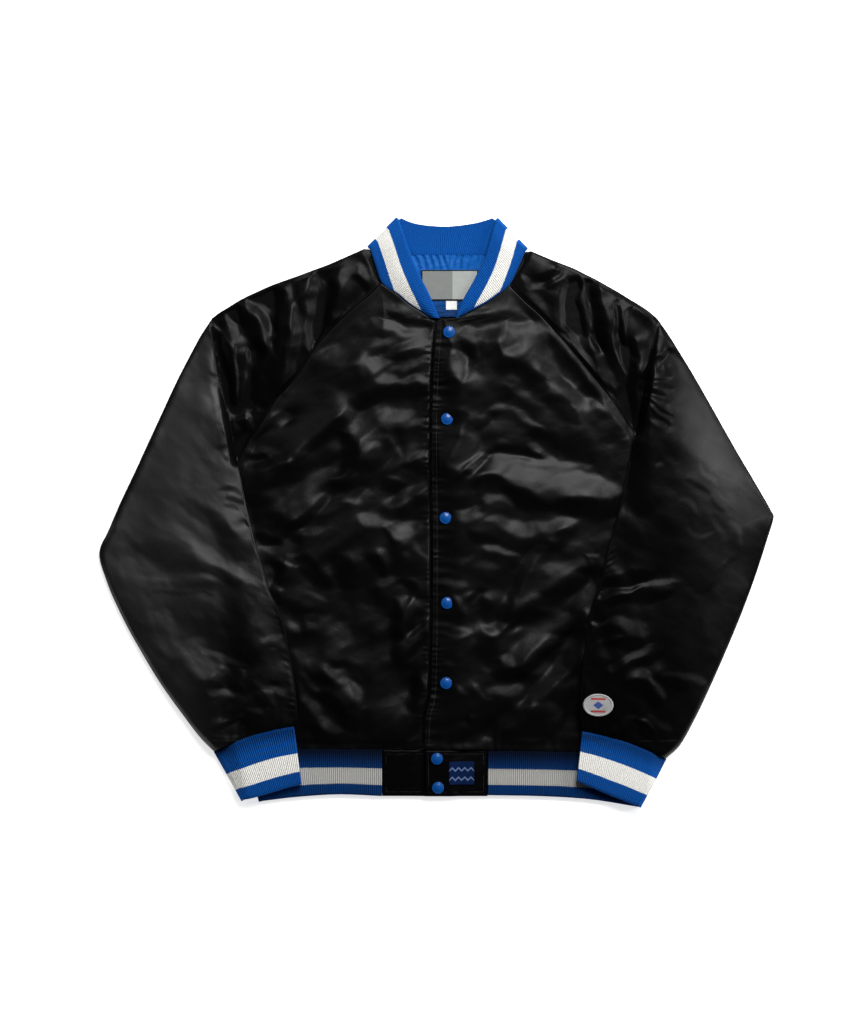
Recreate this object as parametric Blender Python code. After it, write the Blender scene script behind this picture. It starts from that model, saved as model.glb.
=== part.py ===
"""Satin varsity jacket, laid on its back with its front up.

The frame: +X runs to the viewer's right, +Y towards the collar and +Z up from the
surface that the jacket lies on. Every size below is in real millimetres, and MM turns
them into metres. Each table has a row for each section along its piece, with the
columns named in its first line.
"""

import math

import bmesh
import bpy
import numpy as np
from mathutils import Vector
from mathutils.bvhtree import BVHTree

MM = 0.001

# Cloth: satin, padding and quilted lining together.
SEAM_GAP = 0.3
LAY_GAP = 0.5
BACK_WALL = 5.0
SLEEVE_UNDER_WALL = 4.5
PAD_EDGE = 4.0
PAD_BODY = 11.0
PAD_SLEEVE = 14.0
PUFF_REACH = 70.0
SOFT_EDGE = 24.0
SOFT_LEAST = 0.4
CREST_REACH = 40.0
SLEEVE_FOLD_FADE = 26.0
UNDER_EDGE = 9.0
FOLD_FOLLOW = 0.6

# Front opening: the right front laps over the left one.
UNDERLAP = 32.0
UNDERLAP_WALL = 3.0
STEP_RUN = 14.0
STEP_CLEAR = 2.0
LAP_TOP = 2.4
LAP_TUCK = 6.0
FRONT_EDGE_ROLL = 4.0
FRONT_EDGE_SLOPE = 1.4

# Rib knit bands, knitted double.
KNIT_WALL = 4.0
RIB_PITCH = 2.5
RIB_HEIGHT = 0.6
BAND_BULGE = 0.9

# Hem line between the body and its band.
HEM_Y = -304.5
HEM_TILT = -0.012
HEM_TILT_REACH = 60.0

# Snap caps.
SNAP_RADIUS = 7.6
SNAP_HEIGHT = 3.4
SNAP_SIDES = 18
SNAP_FOOT = 0.9
SNAP_ROLL = 0.5
SNAP_CROWN = 1.4
SNAP_SHOULDER = 2.4

# Neck lining, labels and patch.
LINING_WALL = 0.8
LINING_WRINKLE = 0.6
LABEL_WALL = 0.8
PATCH_WALL = 1.2
PATCH_RIM = 0.6
TRIM_GAP = 0.3
TRIM_LIFT = 0.45

# How far the collar's fronts rise over the lining and label, towards their free edge.
COLLAR_LIFT = 3.9
COLLAR_RAMP = 26.0
COLLAR_RISE_SHARE = 0.6

# The sleeve lies on the body: it clears the body's padding by this much.
REST_GAP = 2.2
REST_RAMP = 34.0
HEM_RISE_START = 10.0
HEM_RISE_END = 30.0


def table(columns, *rows):
    """A dict of one array for each named column."""
    values = np.array(rows, float)
    return {name: values[:, i] for i, name in enumerate(columns.split())}


# Raglan part of each sleeve, from the neck to the underarm. "fold" is the shoulder
# fold, "front" and "back" are the raglan seams and "crest" lifts the cloth there.
RAGLAN_LEFT = table(
    "fold_x fold_y front_x front_y back_x back_y crest",
    (-93.0, 338.0, -71.5, 293.0, -34.0, 328.0, 0.0),
    (-110.7, 330.2, -85.8, 278.5, -64.0, 300.0, 1.0),
    (-141.0, 317.0, -110.0, 258.0, -98.0, 269.3, -1.0),
    (-159.0, 310.5, -128.0, 240.5, -128.0, 240.5, -2.0),
    (-176.0, 304.0, -151.9, 214.8, -151.9, 214.8, 6.0),
    (-196.0, 297.0, -165.0, 195.0, -165.0, 195.0, 3.0),
    (-213.1, 290.6, -181.4, 170.6, -181.4, 170.6, -4.0),
    (-229.0, 283.5, -193.6, 157.1, -193.6, 157.1, -3.0),
    (-244.0, 276.5, -205.8, 143.7, -205.8, 143.7, 4.0),
    (-257.0, 269.5, -216.0, 128.5, -216.0, 128.5, -3.0),
    (-268.0, 262.5, -225.4, 114.3, -225.4, 114.3, 5.0),
    (-278.0, 256.5, -238.0, 94.0, -238.0, 94.0, -3.5),
    (-288.0, 249.0, -254.8, 65.3, -254.8, 65.3, 0.0),
)

# Arm part, from the underarm to the cuff. "out" is the outer fold and "in" the edge
# with the underarm seam, which lies on the body. "bow" curves a section up between.
ARM_LEFT = table(
    "out_x out_y in_x in_y crest bow",
    (-291.0, 244.5, -256.6, 64.6, 1.0, 0.0),
    (-302.7, 226.6, -251.0, 48.0, 3.0, 0.0),
    (-315.0, 204.0, -247.5, 30.0, 3.0, 0.0),
    (-334.0, 167.0, -243.0, 9.0, 1.0, 0.0),
    (-353.9, 124.2, -236.0, -20.0, 0.0, 0.0),
    (-372.0, 85.0, -229.8, -44.8, 0.0, 0.0),
    (-389.0, 48.0, -221.0, -72.0, 0.0, 0.0),
    (-405.1, 14.1, -213.1, -99.8, 0.0, 0.0),
    (-420.5, -21.8, -203.0, -122.0, 0.0, 0.0),
    (-433.2, -53.8, -193.0, -150.0, 0.0, 0.0),
    (-423.0, -90.9, -187.5, -183.0, 0.0, 0.0),
    (-402.6, -137.0, -182.5, -209.0, 0.0, 0.0),
    (-379.5, -179.2, -179.8, -230.0, 0.0, 0.0),
    (-353.9, -221.4, -178.0, -246.0, 0.0, 1.0),
    (-328.3, -257.3, -177.3, -258.0, 1.0, 3.0),
    (-302.7, -290.6, -178.5, -268.0, 1.0, 5.0),
    (-286.1, -307.2, -182.4, -274.0, -2.0, 6.0),
)

RAGLAN_RIGHT = table(
    "fold_x fold_y front_x front_y back_x back_y crest",
    (122.0, 335.0, 94.0, 290.0, 62.0, 328.0, 0.0),
    (138.9, 327.7, 114.2, 268.8, 88.0, 300.0, 1.0),
    (156.5, 320.6, 127.4, 257.3, 113.0, 273.5, 2.0),
    (176.0, 313.0, 145.0, 239.9, 145.0, 239.9, -2.0),
    (192.0, 305.0, 157.0, 226.8, 157.0, 226.8, 2.0),
    (207.0, 297.5, 168.1, 214.8, 168.1, 214.8, -2.0),
    (221.0, 289.5, 184.0, 195.2, 184.0, 195.2, 5.0),
    (234.9, 281.6, 199.9, 175.6, 199.9, 175.6, -3.0),
    (247.0, 274.0, 213.4, 158.5, 213.4, 158.5, 5.0),
    (259.0, 267.0, 226.8, 141.3, 226.8, 141.3, -3.0),
    (271.0, 259.0, 240.0, 121.0, 240.0, 121.0, 3.0),
    (283.0, 249.0, 254.5, 101.0, 254.5, 101.0, -2.0),
)

ARM_RIGHT = table(
    "out_x out_y in_x in_y crest bow",
    (286.5, 244.5, 256.4, 100.2, 0.0, 0.0),
    (298.9, 226.6, 251.0, 85.0, 4.0, 0.0),
    (311.7, 206.1, 247.0, 66.0, 4.0, 0.0),
    (330.0, 176.0, 241.0, 40.0, 2.0, 0.0),
    (350.0, 141.0, 235.0, 13.5, 1.0, 0.0),
    (370.0, 105.5, 229.0, -12.0, 0.0, 0.0),
    (388.5, 73.0, 222.5, -36.0, 0.0, 0.0),
    (408.0, 40.0, 215.0, -64.0, 0.0, 0.0),
    (429.4, 2.6, 209.0, -88.0, 0.0, 0.0),
    (433.2, -6.4, 204.0, -103.0, 0.0, 0.0),
    (424.0, -38.0, 196.5, -125.4, 0.0, 0.0),
    (409.0, -84.0, 191.5, -152.0, 0.0, 0.0),
    (392.0, -130.0, 188.8, -176.6, 0.0, 0.0),
    (372.5, -177.0, 185.8, -200.0, 0.0, 0.0),
    (350.0, -228.0, 184.0, -223.0, 0.0, 1.0),
    (331.0, -267.5, 183.2, -246.0, 1.0, 3.0),
    (311.7, -300.8, 184.0, -265.0, 1.0, 4.5),
    (295.0, -316.2, 186.2, -280.3, -2.0, 5.5),
)

# Side edges of the body below the underarm, hidden by the sleeves.
SIDE_LEFT = table(
    "y x",
    (30.0, -275.0),
    (-58.9, -282.0),
    (-177.0, -275.0),
    (-268.8, -258.0),
    (HEM_Y, -246.0),
)
SIDE_RIGHT = table(
    "y x",
    (64.0, 272.0),
    (20.0, 284.0),
    (-58.9, 286.0),
    (-177.0, 283.0),
    (-268.8, 272.0),
    (HEM_Y, 266.0),
)

# Neck seam: front parts from the centre to the raglan seam, and the front edge.
NECK_LEFT = table(
    "y x",
    (248.6, -8.0),
    (258.0, -21.7),
    (267.5, -37.0),
    (278.5, -49.8),
    (293.0, -71.0),
)
NECK_RIGHT = table(
    "y x",
    (248.0, 28.0),
    (257.3, 43.5),
    (268.8, 65.2),
    (277.8, 77.8),
    (290.0, 93.6),
)
FRONT_EDGE = table(
    "y x",
    (247.2, 0.6),
    (201.0, -2.6),
    (101.0, -6.1),
    (-58.9, -5.0),
    (-163.8, -5.5),
    (-234.2, -7.7),
    (-268.8, -15.0),
    (HEM_Y, -15.7),
)

# Largest folds: soft ridges from one end to the other, with half their width and
# their height. A negative height is a trough.
FOLDS_FRONT_LEFT = table(
    "x0 y0 x1 y1 width height",
    (-150.0, 198.0, -75.0, 186.0, 26.0, 6.0),
    (-75.0, 186.0, -8.0, 216.0, 22.0, 5.0),
    (-60.0, 165.0, -12.0, 160.0, 20.0, 3.0),
    (-170.0, 78.0, -108.0, 130.0, 20.0, 5.0),
    (-165.0, 0.0, -92.0, 40.0, 24.0, 7.0),
    (-92.0, 40.0, -58.0, 112.0, 24.0, 6.0),
    (-62.0, 6.0, -12.0, 36.0, 20.0, 5.0),
    (-210.0, 66.0, -130.0, 20.0, 24.0, -3.0),
    (-195.0, -28.0, -140.0, -14.0, 20.0, 5.0),
    (-100.0, -8.0, -36.0, -40.0, 26.0, 5.0),
    (-176.0, -150.0, -122.0, -160.0, 30.0, 5.0),
    (-150.0, -200.0, -96.0, -250.0, 20.0, 5.0),
    (-166.0, -226.0, -122.0, -282.0, 20.0, 7.0),
    (-42.0, -190.0, -12.0, -150.0, 20.0, 4.0),
    (-40.0, -286.0, -20.0, -235.0, 18.0, 5.0),
)
FOLDS_FRONT_RIGHT = table(
    "x0 y0 x1 y1 width height",
    (38.0, 228.0, 130.0, 230.0, 26.0, 6.0),
    (120.0, 192.0, 190.0, 128.0, 22.0, 6.0),
    (90.0, 170.0, 180.0, 92.0, 20.0, -3.0),
    (28.0, 52.0, 78.0, 130.0, 24.0, 6.0),
    (78.0, 132.0, 158.0, 82.0, 20.0, 4.0),
    (70.0, 58.0, 150.0, 48.0, 30.0, 8.0),
    (150.0, 48.0, 226.0, 34.0, 30.0, 8.0),
    (92.0, -14.0, 160.0, -18.0, 28.0, 6.0),
    (62.0, -44.0, 104.0, -58.0, 18.0, 4.0),
    (66.0, -152.0, 108.0, -138.0, 20.0, 4.0),
    (112.0, -176.0, 150.0, -132.0, 26.0, 5.0),
    (62.0, -232.0, 112.0, -224.0, 22.0, 4.0),
    (126.0, -284.0, 168.0, -240.0, 24.0, 5.0),
)
FOLDS_SLEEVE_LEFT = table(
    "x0 y0 x1 y1 width height",
    (-330.0, 150.0, -392.0, 20.0, 60.0, 5.0),
    (-354.0, -4.0, -303.0, -42.0, 26.0, 6.0),
    (-303.0, -42.0, -230.0, -90.0, 26.0, 7.0),
    (-373.0, -80.0, -264.0, -84.0, 18.0, 4.0),
    (-360.0, -112.0, -272.0, -118.0, 20.0, 4.0),
    (-320.0, -172.0, -238.0, -188.0, 24.0, 6.0),
    (-300.0, -240.0, -232.0, -206.0, 22.0, 6.0),
    (-292.0, -276.0, -214.0, -250.0, 18.0, 5.0),
)
FOLDS_SLEEVE_RIGHT = table(
    "x0 y0 x1 y1 width height",
    (320.0, 180.0, 404.0, 30.0, 60.0, 5.0),
    (330.0, 60.0, 390.0, -40.0, 30.0, -3.0),
    (206.0, -102.0, 258.0, -92.0, 18.0, 7.0),
    (258.0, -92.0, 330.0, -70.0, 22.0, 5.0),
    (200.0, -136.0, 262.0, -158.0, 24.0, 6.0),
    (222.0, -196.0, 268.0, -168.0, 22.0, 5.0),
    (241.0, -212.0, 292.0, -222.0, 20.0, 6.0),
    (290.0, -200.0, 350.0, -222.0, 24.0, 5.0),
    (224.0, -276.0, 282.0, -262.0, 18.0, 5.0),
)

# Collar band: "seam" is sewn to the neck and "edge" is free. Left front from its end
# to the left shoulder fold, then the back, then the right front.
COLLAR_LEFT = table(
    "seam_x seam_y edge_x edge_y",
    (-8.0, 248.6, 4.0, 248.2),
    (-21.7, 258.0, -1.0, 260.0),
    (-37.0, 267.5, -9.0, 278.5),
    (-49.8, 278.5, -19.5, 299.4),
    (-70.5, 293.0, -33.5, 330.8),
    (-79.2, 317.0, -42.1, 356.5),
    (-87.4, 342.2, -49.9, 379.9),
)
COLLAR_BACK = table(
    "seam_x seam_y edge_x edge_y",
    (-87.0, 344.6, -49.9, 379.9),
    (-61.0, 335.0, -34.0, 372.5),
    (-34.0, 328.2, -18.0, 368.8),
    (14.0, 327.8, 11.0, 366.6),
    (62.0, 328.2, 44.0, 370.0),
    (89.5, 333.5, 60.7, 373.8),
    (116.0, 341.6, 76.9, 379.5),
)
COLLAR_RIGHT = table(
    "seam_x seam_y edge_x edge_y",
    (116.4, 339.4, 76.9, 379.5),
    (105.5, 314.0, 69.5, 351.5),
    (93.0, 290.0, 62.5, 327.4),
    (77.8, 277.8, 53.0, 306.8),
    (65.2, 268.8, 46.0, 293.4),
    (43.5, 257.3, 32.5, 269.0),
    (28.0, 248.4, 24.4, 248.4),
)

# Hem band: "seam" is sewn to the body and "edge" is the jacket's bottom.
HEM_LEFT = table(
    "seam_x edge_x edge_y",
    (-70.0, -70.0, -364.6),
    (-123.5, -123.5, -362.4),
    (-185.0, -178.0, -365.6),
    (-246.0, -228.0, -371.5),
)
HEM_BACK = table(
    "seam_x edge_x edge_y",
    (-246.0, -228.0, -371.5),
    (-123.5, -123.5, -362.4),
    (66.0, 66.0, -363.5),
    (200.0, 190.0, -368.0),
    (266.0, 262.0, -379.0),
)
HEM_RIGHT = table(
    "seam_x edge_x edge_y",
    (266.0, 262.0, -379.0),
    (200.0, 190.0, -368.0),
    (130.0, 130.0, -364.5),
    (66.0, 66.0, -363.5),
)
BLOCK_LEFT_X = -70.0
BLOCK_RIGHT_X = 66.0
BLOCK_BOTTOM_LEFT_Y = -364.6
BLOCK_BOTTOM_RIGHT_Y = -364.8

# Cuffs: free edge from the inner edge to the outer fold, at shares of the sleeve's
# last section, which the cuff is sewn to.
CUFF_LEFT = table(
    "share edge_x edge_y",
    (0.0, -172.8, -348.2),
    (0.25, -190.0, -352.6),
    (0.5, -211.0, -359.0),
    (0.75, -232.0, -365.0),
    (1.0, -250.2, -369.2),
)
CUFF_RIGHT = table(
    "share edge_x edge_y",
    (0.0, 179.2, -344.3),
    (0.25, 199.0, -352.6),
    (0.5, 220.0, -361.6),
    (0.75, 241.0, -370.0),
    (1.0, 261.1, -377.6),
)

# Places of the snaps: five down the front, two on the hem block.
SNAPS = table(
    "x y",
    (16.0, 230.4),
    (13.4, 119.0),
    (11.5, -7.7),
    (13.4, -116.5),
    (12.2, -218.9),
    (0.6, -316.2),
    (1.9, -353.3),
)
SNAP_FLAT = 12.0
SNAP_FLAT_RUN = 12.0

# Slanted welt pockets: upper inner corner, slant and size.
WELT_LENGTH = 150.0
WELT_WIDTH = 24.0
WELT_WALL = 2.2
WELT_LEFT = (-171.0, -52.0)
WELT_RIGHT = (186.0, -52.0)
WELT_SLANT = 0.42

# Labels: left edge, bottom edge, width and height.
NECK_LABEL = (-19.5, 271.4, 73.0, 39.0)
SIZE_TAB = (12.2, 259.6, 14.0, 11.2)
HEM_LABEL = (16.2, -349.4, 32.0, 29.4)

# Sleeve patch: centre, half sizes.
PATCH_CENTRE = (205.8, -246.0)
PATCH_HALF = (19.2, 14.6)

# Grids: rows and columns of the panels, shares across a sleeve and a band.
NECK_BACK_Y = 327.6
PANEL_STEP = 24.0
PANEL_COLUMNS = 12
UNDERLAP_SHARES = (0.96, 0.88)
OVERLAP_SHARES = (0.08, 0.16)
BACK_STEP = 60.0
BACK_COLUMNS = 6
SLEEVE_SHARES = (0.0, 0.04, 0.12, 0.24, 0.38, 0.52, 0.66, 0.8, 0.91, 0.975, 1.0)
SLIT_STOP = 5.0
BAND_SHARES = (0.0, 0.5, 1.0)
FOLD_RADIUS = KNIT_WALL + LAY_GAP / 2
FOLD_ANGLES = (60.0, 30.0, 0.0, -30.0, -60.0)
CUFF_LOWER_PITCH = 12.0
BLOCK_WALL = 4.0
BLOCK_STEP = 12.0
BLOCK_SHARES = (0.0, 0.12, 0.88, 1.0)
BLOCK_ROUND = 1.0
COLLAR_CLEAR = 0.6
WELT_ROWS = 11
WELT_CLEAR = 14.0
WELT_SPARE = 1.0
WELT_COLUMNS = 4
WELT_ROUND = 0.8
REST_LEVEL = 6.0
LINING_START = 1.5
LINING_UNDER = 0.55
LINING_WAVE = 43.0
LINING_ROWS = 9
LINING_COLUMNS = 10
PATCH_GRID = 9
PATCH_RIM_SHARE = 0.7
MERGE_ANGLE = 0.8
SHARP_ANGLE = 35.0

BLACK_SATIN = (0.012, 0.012, 0.014, 1.0)
ROYAL_KNIT = (0.011, 0.091, 0.479, 1.0)
LINING_BLUE = (0.014, 0.159, 0.686, 1.0)
SNAP_BLUE = (0.008, 0.138, 0.578, 1.0)
LABEL_GREY = (0.55, 0.56, 0.57, 1.0)
TAB_WHITE = (0.85, 0.85, 0.84, 1.0)
NAVY = (0.010, 0.022, 0.090, 1.0)


def clear_scene():
    for obj in list(bpy.data.objects):
        bpy.data.objects.remove(obj)


def material(name, colour, roughness, metallic=0.0):
    made = bpy.data.materials.new(name)
    made.use_nodes = True
    shader = made.node_tree.nodes["Principled BSDF"]
    shader.inputs["Base Color"].default_value = colour
    shader.inputs["Roughness"].default_value = roughness
    shader.inputs["Metallic"].default_value = metallic
    made.diffuse_color = colour
    return made


def smooth(share):
    """0 to 1 with level ends."""
    share = np.clip(share, 0.0, 1.0)
    return share * share * (3.0 - 2.0 * share)


def rounded(share):
    """A quarter of an ellipse: 0 at the edge, 1 from a share of 1 on."""
    return np.sqrt(1.0 - (1.0 - np.clip(share, 0.0, 1.0)) ** 2)


def from_line(x, y, x0, y0, x1, y1):
    """Distance of x, y from the straight piece between two points."""
    along_x, along_y = x1 - x0, y1 - y0
    share = ((x - x0) * along_x + (y - y0) * along_y) / (along_x**2 + along_y**2)
    share = np.clip(share, 0.0, 1.0)
    return np.hypot(x - x0 - share * along_x, y - y0 - share * along_y)


def from_curve(x, y, curve_x, curve_y):
    """Distance of x, y from a curve of straight pieces."""
    nearest = np.full(np.broadcast(x, y).shape, np.inf)
    for i in range(len(curve_x) - 1):
        piece = from_line(x, y, curve_x[i], curve_y[i], curve_x[i + 1], curve_y[i + 1])
        nearest = np.minimum(nearest, piece)
    return nearest


def folds(x, y, rows):
    """Height of the soft ridges of a fold table at x, y."""
    height = np.zeros(np.broadcast(x, y).shape)
    for x0, y0, x1, y1, width, lift in zip(*(rows[name] for name in rows)):
        away = from_line(x, y, x0, y0, x1, y1)
        height = height + lift * (1.0 - np.clip(away / width, 0.0, 1.0) ** 2) ** 2
    return height


def column(rows, y):
    """The curve's x at height y."""
    order = np.argsort(rows["y"])
    return np.interp(y, rows["y"][order], rows["x"][order])


def joined(*curves):
    """One curve from several, each a pair of x and y arrays."""
    return {
        "x": np.concatenate([np.atleast_1d(x) for x, _ in curves]),
        "y": np.concatenate([np.atleast_1d(y) for _, y in curves]),
    }


def body_side(raglan, side, seam):
    """Side of the body as one curve: its raglan seam, then its side edge."""
    return joined((raglan[seam + "_x"], raglan[seam + "_y"]), (side["x"], side["y"]))


LEFT_OF_FRONT = body_side(RAGLAN_LEFT, SIDE_LEFT, "front")
RIGHT_OF_FRONT = body_side(RAGLAN_RIGHT, SIDE_RIGHT, "front")
LEFT_OF_BACK = body_side(RAGLAN_LEFT, SIDE_LEFT, "back")
RIGHT_OF_BACK = body_side(RAGLAN_RIGHT, SIDE_RIGHT, "back")
LEFT_FRONT_INNER = joined(
    (NECK_LEFT["x"][::-1], NECK_LEFT["y"][::-1]),
    (FRONT_EDGE["x"][0] + UNDERLAP - LAP_TUCK, NECK_LEFT["y"][0] - LAP_TOP),
    (FRONT_EDGE["x"][1:] + UNDERLAP, FRONT_EDGE["y"][1:]),
)
RIGHT_FRONT_INNER = joined(
    (NECK_RIGHT["x"][::-1], NECK_RIGHT["y"][::-1]),
    (FRONT_EDGE["x"], FRONT_EDGE["y"]),
)


def pad(inside, middle):
    """Thickness of a padded wall at a distance inside its edge."""
    return PAD_EDGE + (middle - PAD_EDGE) * smooth(inside / PUFF_REACH)


def inside_panel(x, y, side, neck):
    """Distance from a front's seams: side, raglan, neck and hem."""
    away = from_curve(x, y, side["x"], side["y"])
    away = np.minimum(away, from_curve(x, y, neck["x"], neck["y"]))
    return np.minimum(away, np.maximum(y - HEM_Y, 0.0))


def left_lap(x, y):
    """1 where the left front lies under the right one, 0 outside it."""
    return smooth((x - column(FRONT_EDGE, y) + STEP_RUN) / (STEP_RUN - STEP_CLEAR / 2))


def left_front_base(x, y):
    lift = FOLD_FOLLOW * np.maximum(folds(x, y, FOLDS_FRONT_LEFT), 0.0)
    return BACK_WALL + LAY_GAP + lift * (1.0 - left_lap(x, y))


def left_front_wall(x, y):
    inside = inside_panel(x, y, LEFT_OF_FRONT, NECK_LEFT)
    wall = pad(inside, PAD_BODY) + (1.0 - FOLD_FOLLOW) * folds(x, y, FOLDS_FRONT_LEFT)
    return wall + (UNDERLAP_WALL - wall) * left_lap(x, y)


def right_lap(x, y):
    """1 where the right front lies over the left one's underlap."""
    end = column(FRONT_EDGE, y) + UNDERLAP
    return 1.0 - smooth((x - end - STEP_CLEAR) / STEP_RUN)


def right_front_base(x, y):
    over_neck = smooth((y - NECK_RIGHT["y"][0] - STEP_CLEAR) / STEP_RUN)
    lap = right_lap(x, y) * (1.0 - over_neck)
    lift = FOLD_FOLLOW * np.maximum(folds(x, y, FOLDS_FRONT_RIGHT), 0.0)
    return BACK_WALL + LAY_GAP + (UNDERLAP_WALL + LAY_GAP) * lap + lift


def right_front_wall(x, y):
    inside = inside_panel(x, y, RIGHT_OF_FRONT, NECK_RIGHT)
    from_edge = FRONT_EDGE_SLOPE * (x - column(FRONT_EDGE, y)) + FRONT_EDGE_ROLL
    inside = np.minimum(inside, from_edge)
    return pad(inside, PAD_BODY) + (1.0 - FOLD_FOLLOW) * folds(x, y, FOLDS_FRONT_RIGHT)


def right_front_top(x, y):
    return right_front_base(x, y) + right_front_wall(x, y)


def left_front_top(x, y):
    return left_front_base(x, y) + left_front_wall(x, y)


def flat_at_snaps(x, y, z):
    """Levels a surface round each snap, so that the cap seats on it."""
    for snap_x, snap_y in zip(SNAPS["x"], SNAPS["y"]):
        if snap_y > HEM_Y:
            level = right_front_top(snap_x, snap_y)
            away = np.hypot(x - snap_x, y - snap_y)
            share = 1.0 - smooth((away - SNAP_FLAT) / SNAP_FLAT_RUN)
            z = z + (level - z) * share
    return z


def mesh_object(name, points, faces, look, merge_angle=None):
    """An object from points in millimetres, with level faces merged where asked."""
    mesh = bpy.data.meshes.new(name)
    mesh.from_pydata([tuple(p) for p in np.asarray(points) * MM], [], faces)
    work = bmesh.new()
    work.from_mesh(mesh)
    if merge_angle is not None:
        bmesh.ops.dissolve_limit(
            work,
            angle_limit=math.radians(merge_angle),
            use_dissolve_boundaries=False,
            verts=work.verts,
            edges=work.edges,
        )
    bmesh.ops.triangulate(work, faces=work.faces)
    if work.calc_volume(signed=True) < 0:
        bmesh.ops.reverse_faces(work, faces=work.faces)
    work.to_mesh(mesh)
    work.free()
    mesh.shade_smooth()
    mesh.set_sharp_from_angle(angle=math.radians(SHARP_ANGLE))
    mesh.materials.append(look)
    obj = bpy.data.objects.new(name, mesh)
    bpy.context.scene.collection.objects.link(obj)
    return obj


def closed_sheet(upper, lower):
    """Points and faces of a wall between two grids of the same size."""
    rows, columns = upper.shape[:2]
    points = np.concatenate([upper.reshape(-1, 3), lower.reshape(-1, 3)])
    index = np.arange(rows * columns).reshape(rows, columns)
    under = index + rows * columns
    faces = []

    def quads(a, b, c, d):
        corners = np.stack([a.ravel(), b.ravel(), c.ravel(), d.ravel()], axis=1)
        faces.extend(corners.tolist())

    quads(index[:-1, :-1], index[:-1, 1:], index[1:, 1:], index[1:, :-1])
    quads(under[:-1, :-1], under[1:, :-1], under[1:, 1:], under[:-1, 1:])
    quads(index[0, 1:], index[0, :-1], under[0, :-1], under[0, 1:])
    quads(index[-1, :-1], index[-1, 1:], under[-1, 1:], under[-1, :-1])
    quads(index[:-1, 0], index[1:, 0], under[1:, 0], under[:-1, 0])
    quads(index[1:, -1], index[:-1, -1], under[:-1, -1], under[1:, -1])
    return points, faces


def eased(count):
    """Shares from 0 to 1 that lie closer together at both ends."""
    even = np.linspace(0.0, 1.0, count)
    return 0.55 * even + 0.45 * (0.5 - 0.5 * np.cos(math.pi * even))


def panel_rows(top, step, *curves):
    """Row heights at every corner of the curves, and between them at a step."""
    corners = np.unique(np.concatenate([curve["y"] for curve in curves]))
    corners = corners[(corners >= HEM_Y) & (corners < top - 1.5)]
    corners = np.append(corners, top)
    rows = [corners[:1]]
    for low, high in zip(corners[:-1], corners[1:]):
        parts = max(1, int(round((high - low) / step)))
        rows.append(low + (high - low) * np.arange(1, parts + 1) / parts)
    rows = np.concatenate(rows)
    rows[0] += SEAM_GAP / 2
    return rows


def tilt_to_hem(x, y):
    near = np.clip(1.0 - (y - HEM_Y) / HEM_TILT_REACH, 0.0, 1.0)
    return y + HEM_TILT * x * near


def grid_between(left, right, heights, shares):
    """x and y of rows between two curves."""
    y = np.repeat(heights[:, None], len(shares), axis=1)
    start, end = left(heights)[:, None], right(heights)[:, None]
    return start + (end - start) * shares[None, :], y


def wall_object(name, x, y, low, high, look, merge_angle=None):
    upper = np.stack([x, y, high], axis=2)
    lower = np.stack([x, y, np.broadcast_to(low, x.shape)], axis=2)
    points, faces = closed_sheet(upper, lower)
    return mesh_object(name, points, faces, look, merge_angle)


def back_panel(look):
    heights = panel_rows(NECK_BACK_Y - SEAM_GAP, BACK_STEP, LEFT_OF_BACK, RIGHT_OF_BACK)
    x, y = grid_between(
        lambda h: column(LEFT_OF_BACK, h) + SEAM_GAP / 2,
        lambda h: column(RIGHT_OF_BACK, h) - SEAM_GAP / 2,
        heights,
        np.linspace(0.0, 1.0, BACK_COLUMNS),
    )
    y = tilt_to_hem(x, y)
    wall_object("back", x, y, 0.0, np.full(x.shape, BACK_WALL), look, MERGE_ANGLE)


def front_left(look):
    """The left front: padded up to the front edge, then thin under the lap."""
    top = RAGLAN_LEFT["front_y"][0] - SEAM_GAP
    heights = panel_rows(top, PANEL_STEP, LEFT_OF_FRONT, LEFT_FRONT_INNER)
    start = column(LEFT_OF_FRONT, heights) + SEAM_GAP / 2
    end = column(LEFT_FRONT_INNER, heights) - SEAM_GAP / 2
    edge = column(FRONT_EDGE, heights)
    thin_share, padded_share = UNDERLAP_SHARES
    thin = np.minimum(edge - STEP_CLEAR / 2, start + thin_share * (end - start))
    padded = np.minimum(edge - STEP_RUN, start + padded_share * (end - start))
    shares = eased(PANEL_COLUMNS)[None, :]
    x = start[:, None] + (padded - start)[:, None] * shares
    x = np.concatenate([x, thin[:, None], end[:, None]], axis=1)
    y = np.repeat(heights[:, None], x.shape[1], axis=1)
    low, high = left_front_base(x, y), left_front_top(x, y)
    wall_object("front_left", x, tilt_to_hem(x, y), low, high, look)


def front_right(look):
    """The right front, which laps over the left one and carries the snaps."""
    top = RAGLAN_RIGHT["front_y"][0] - SEAM_GAP
    heights = panel_rows(top, PANEL_STEP, RIGHT_OF_FRONT, RIGHT_FRONT_INNER)
    start = column(RIGHT_FRONT_INNER, heights) + SEAM_GAP / 2
    end = column(RIGHT_OF_FRONT, heights) - SEAM_GAP / 2
    lapped = column(FRONT_EDGE, heights) + UNDERLAP + STEP_CLEAR
    across = end - start
    flat_share, low_share = OVERLAP_SHARES
    flat = np.maximum(lapped, start + flat_share * across)
    low_side = np.maximum(lapped + STEP_RUN, start + low_share * across)
    shares = eased(PANEL_COLUMNS - 1)[None, :]
    x = np.concatenate(
        [
            start[:, None],
            (start + (flat - start) / 3.0)[:, None],
            (start + (flat - start) / 1.5)[:, None],
            flat[:, None],
            low_side[:, None] + (end - low_side)[:, None] * shares,
        ],
        axis=1,
    )
    y = np.repeat(heights[:, None], x.shape[1], axis=1)
    low = right_front_base(x, y)
    high = flat_at_snaps(x, y, right_front_top(x, y))
    wall_object("front_right", x, tilt_to_hem(x, y), low, high, look)


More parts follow.
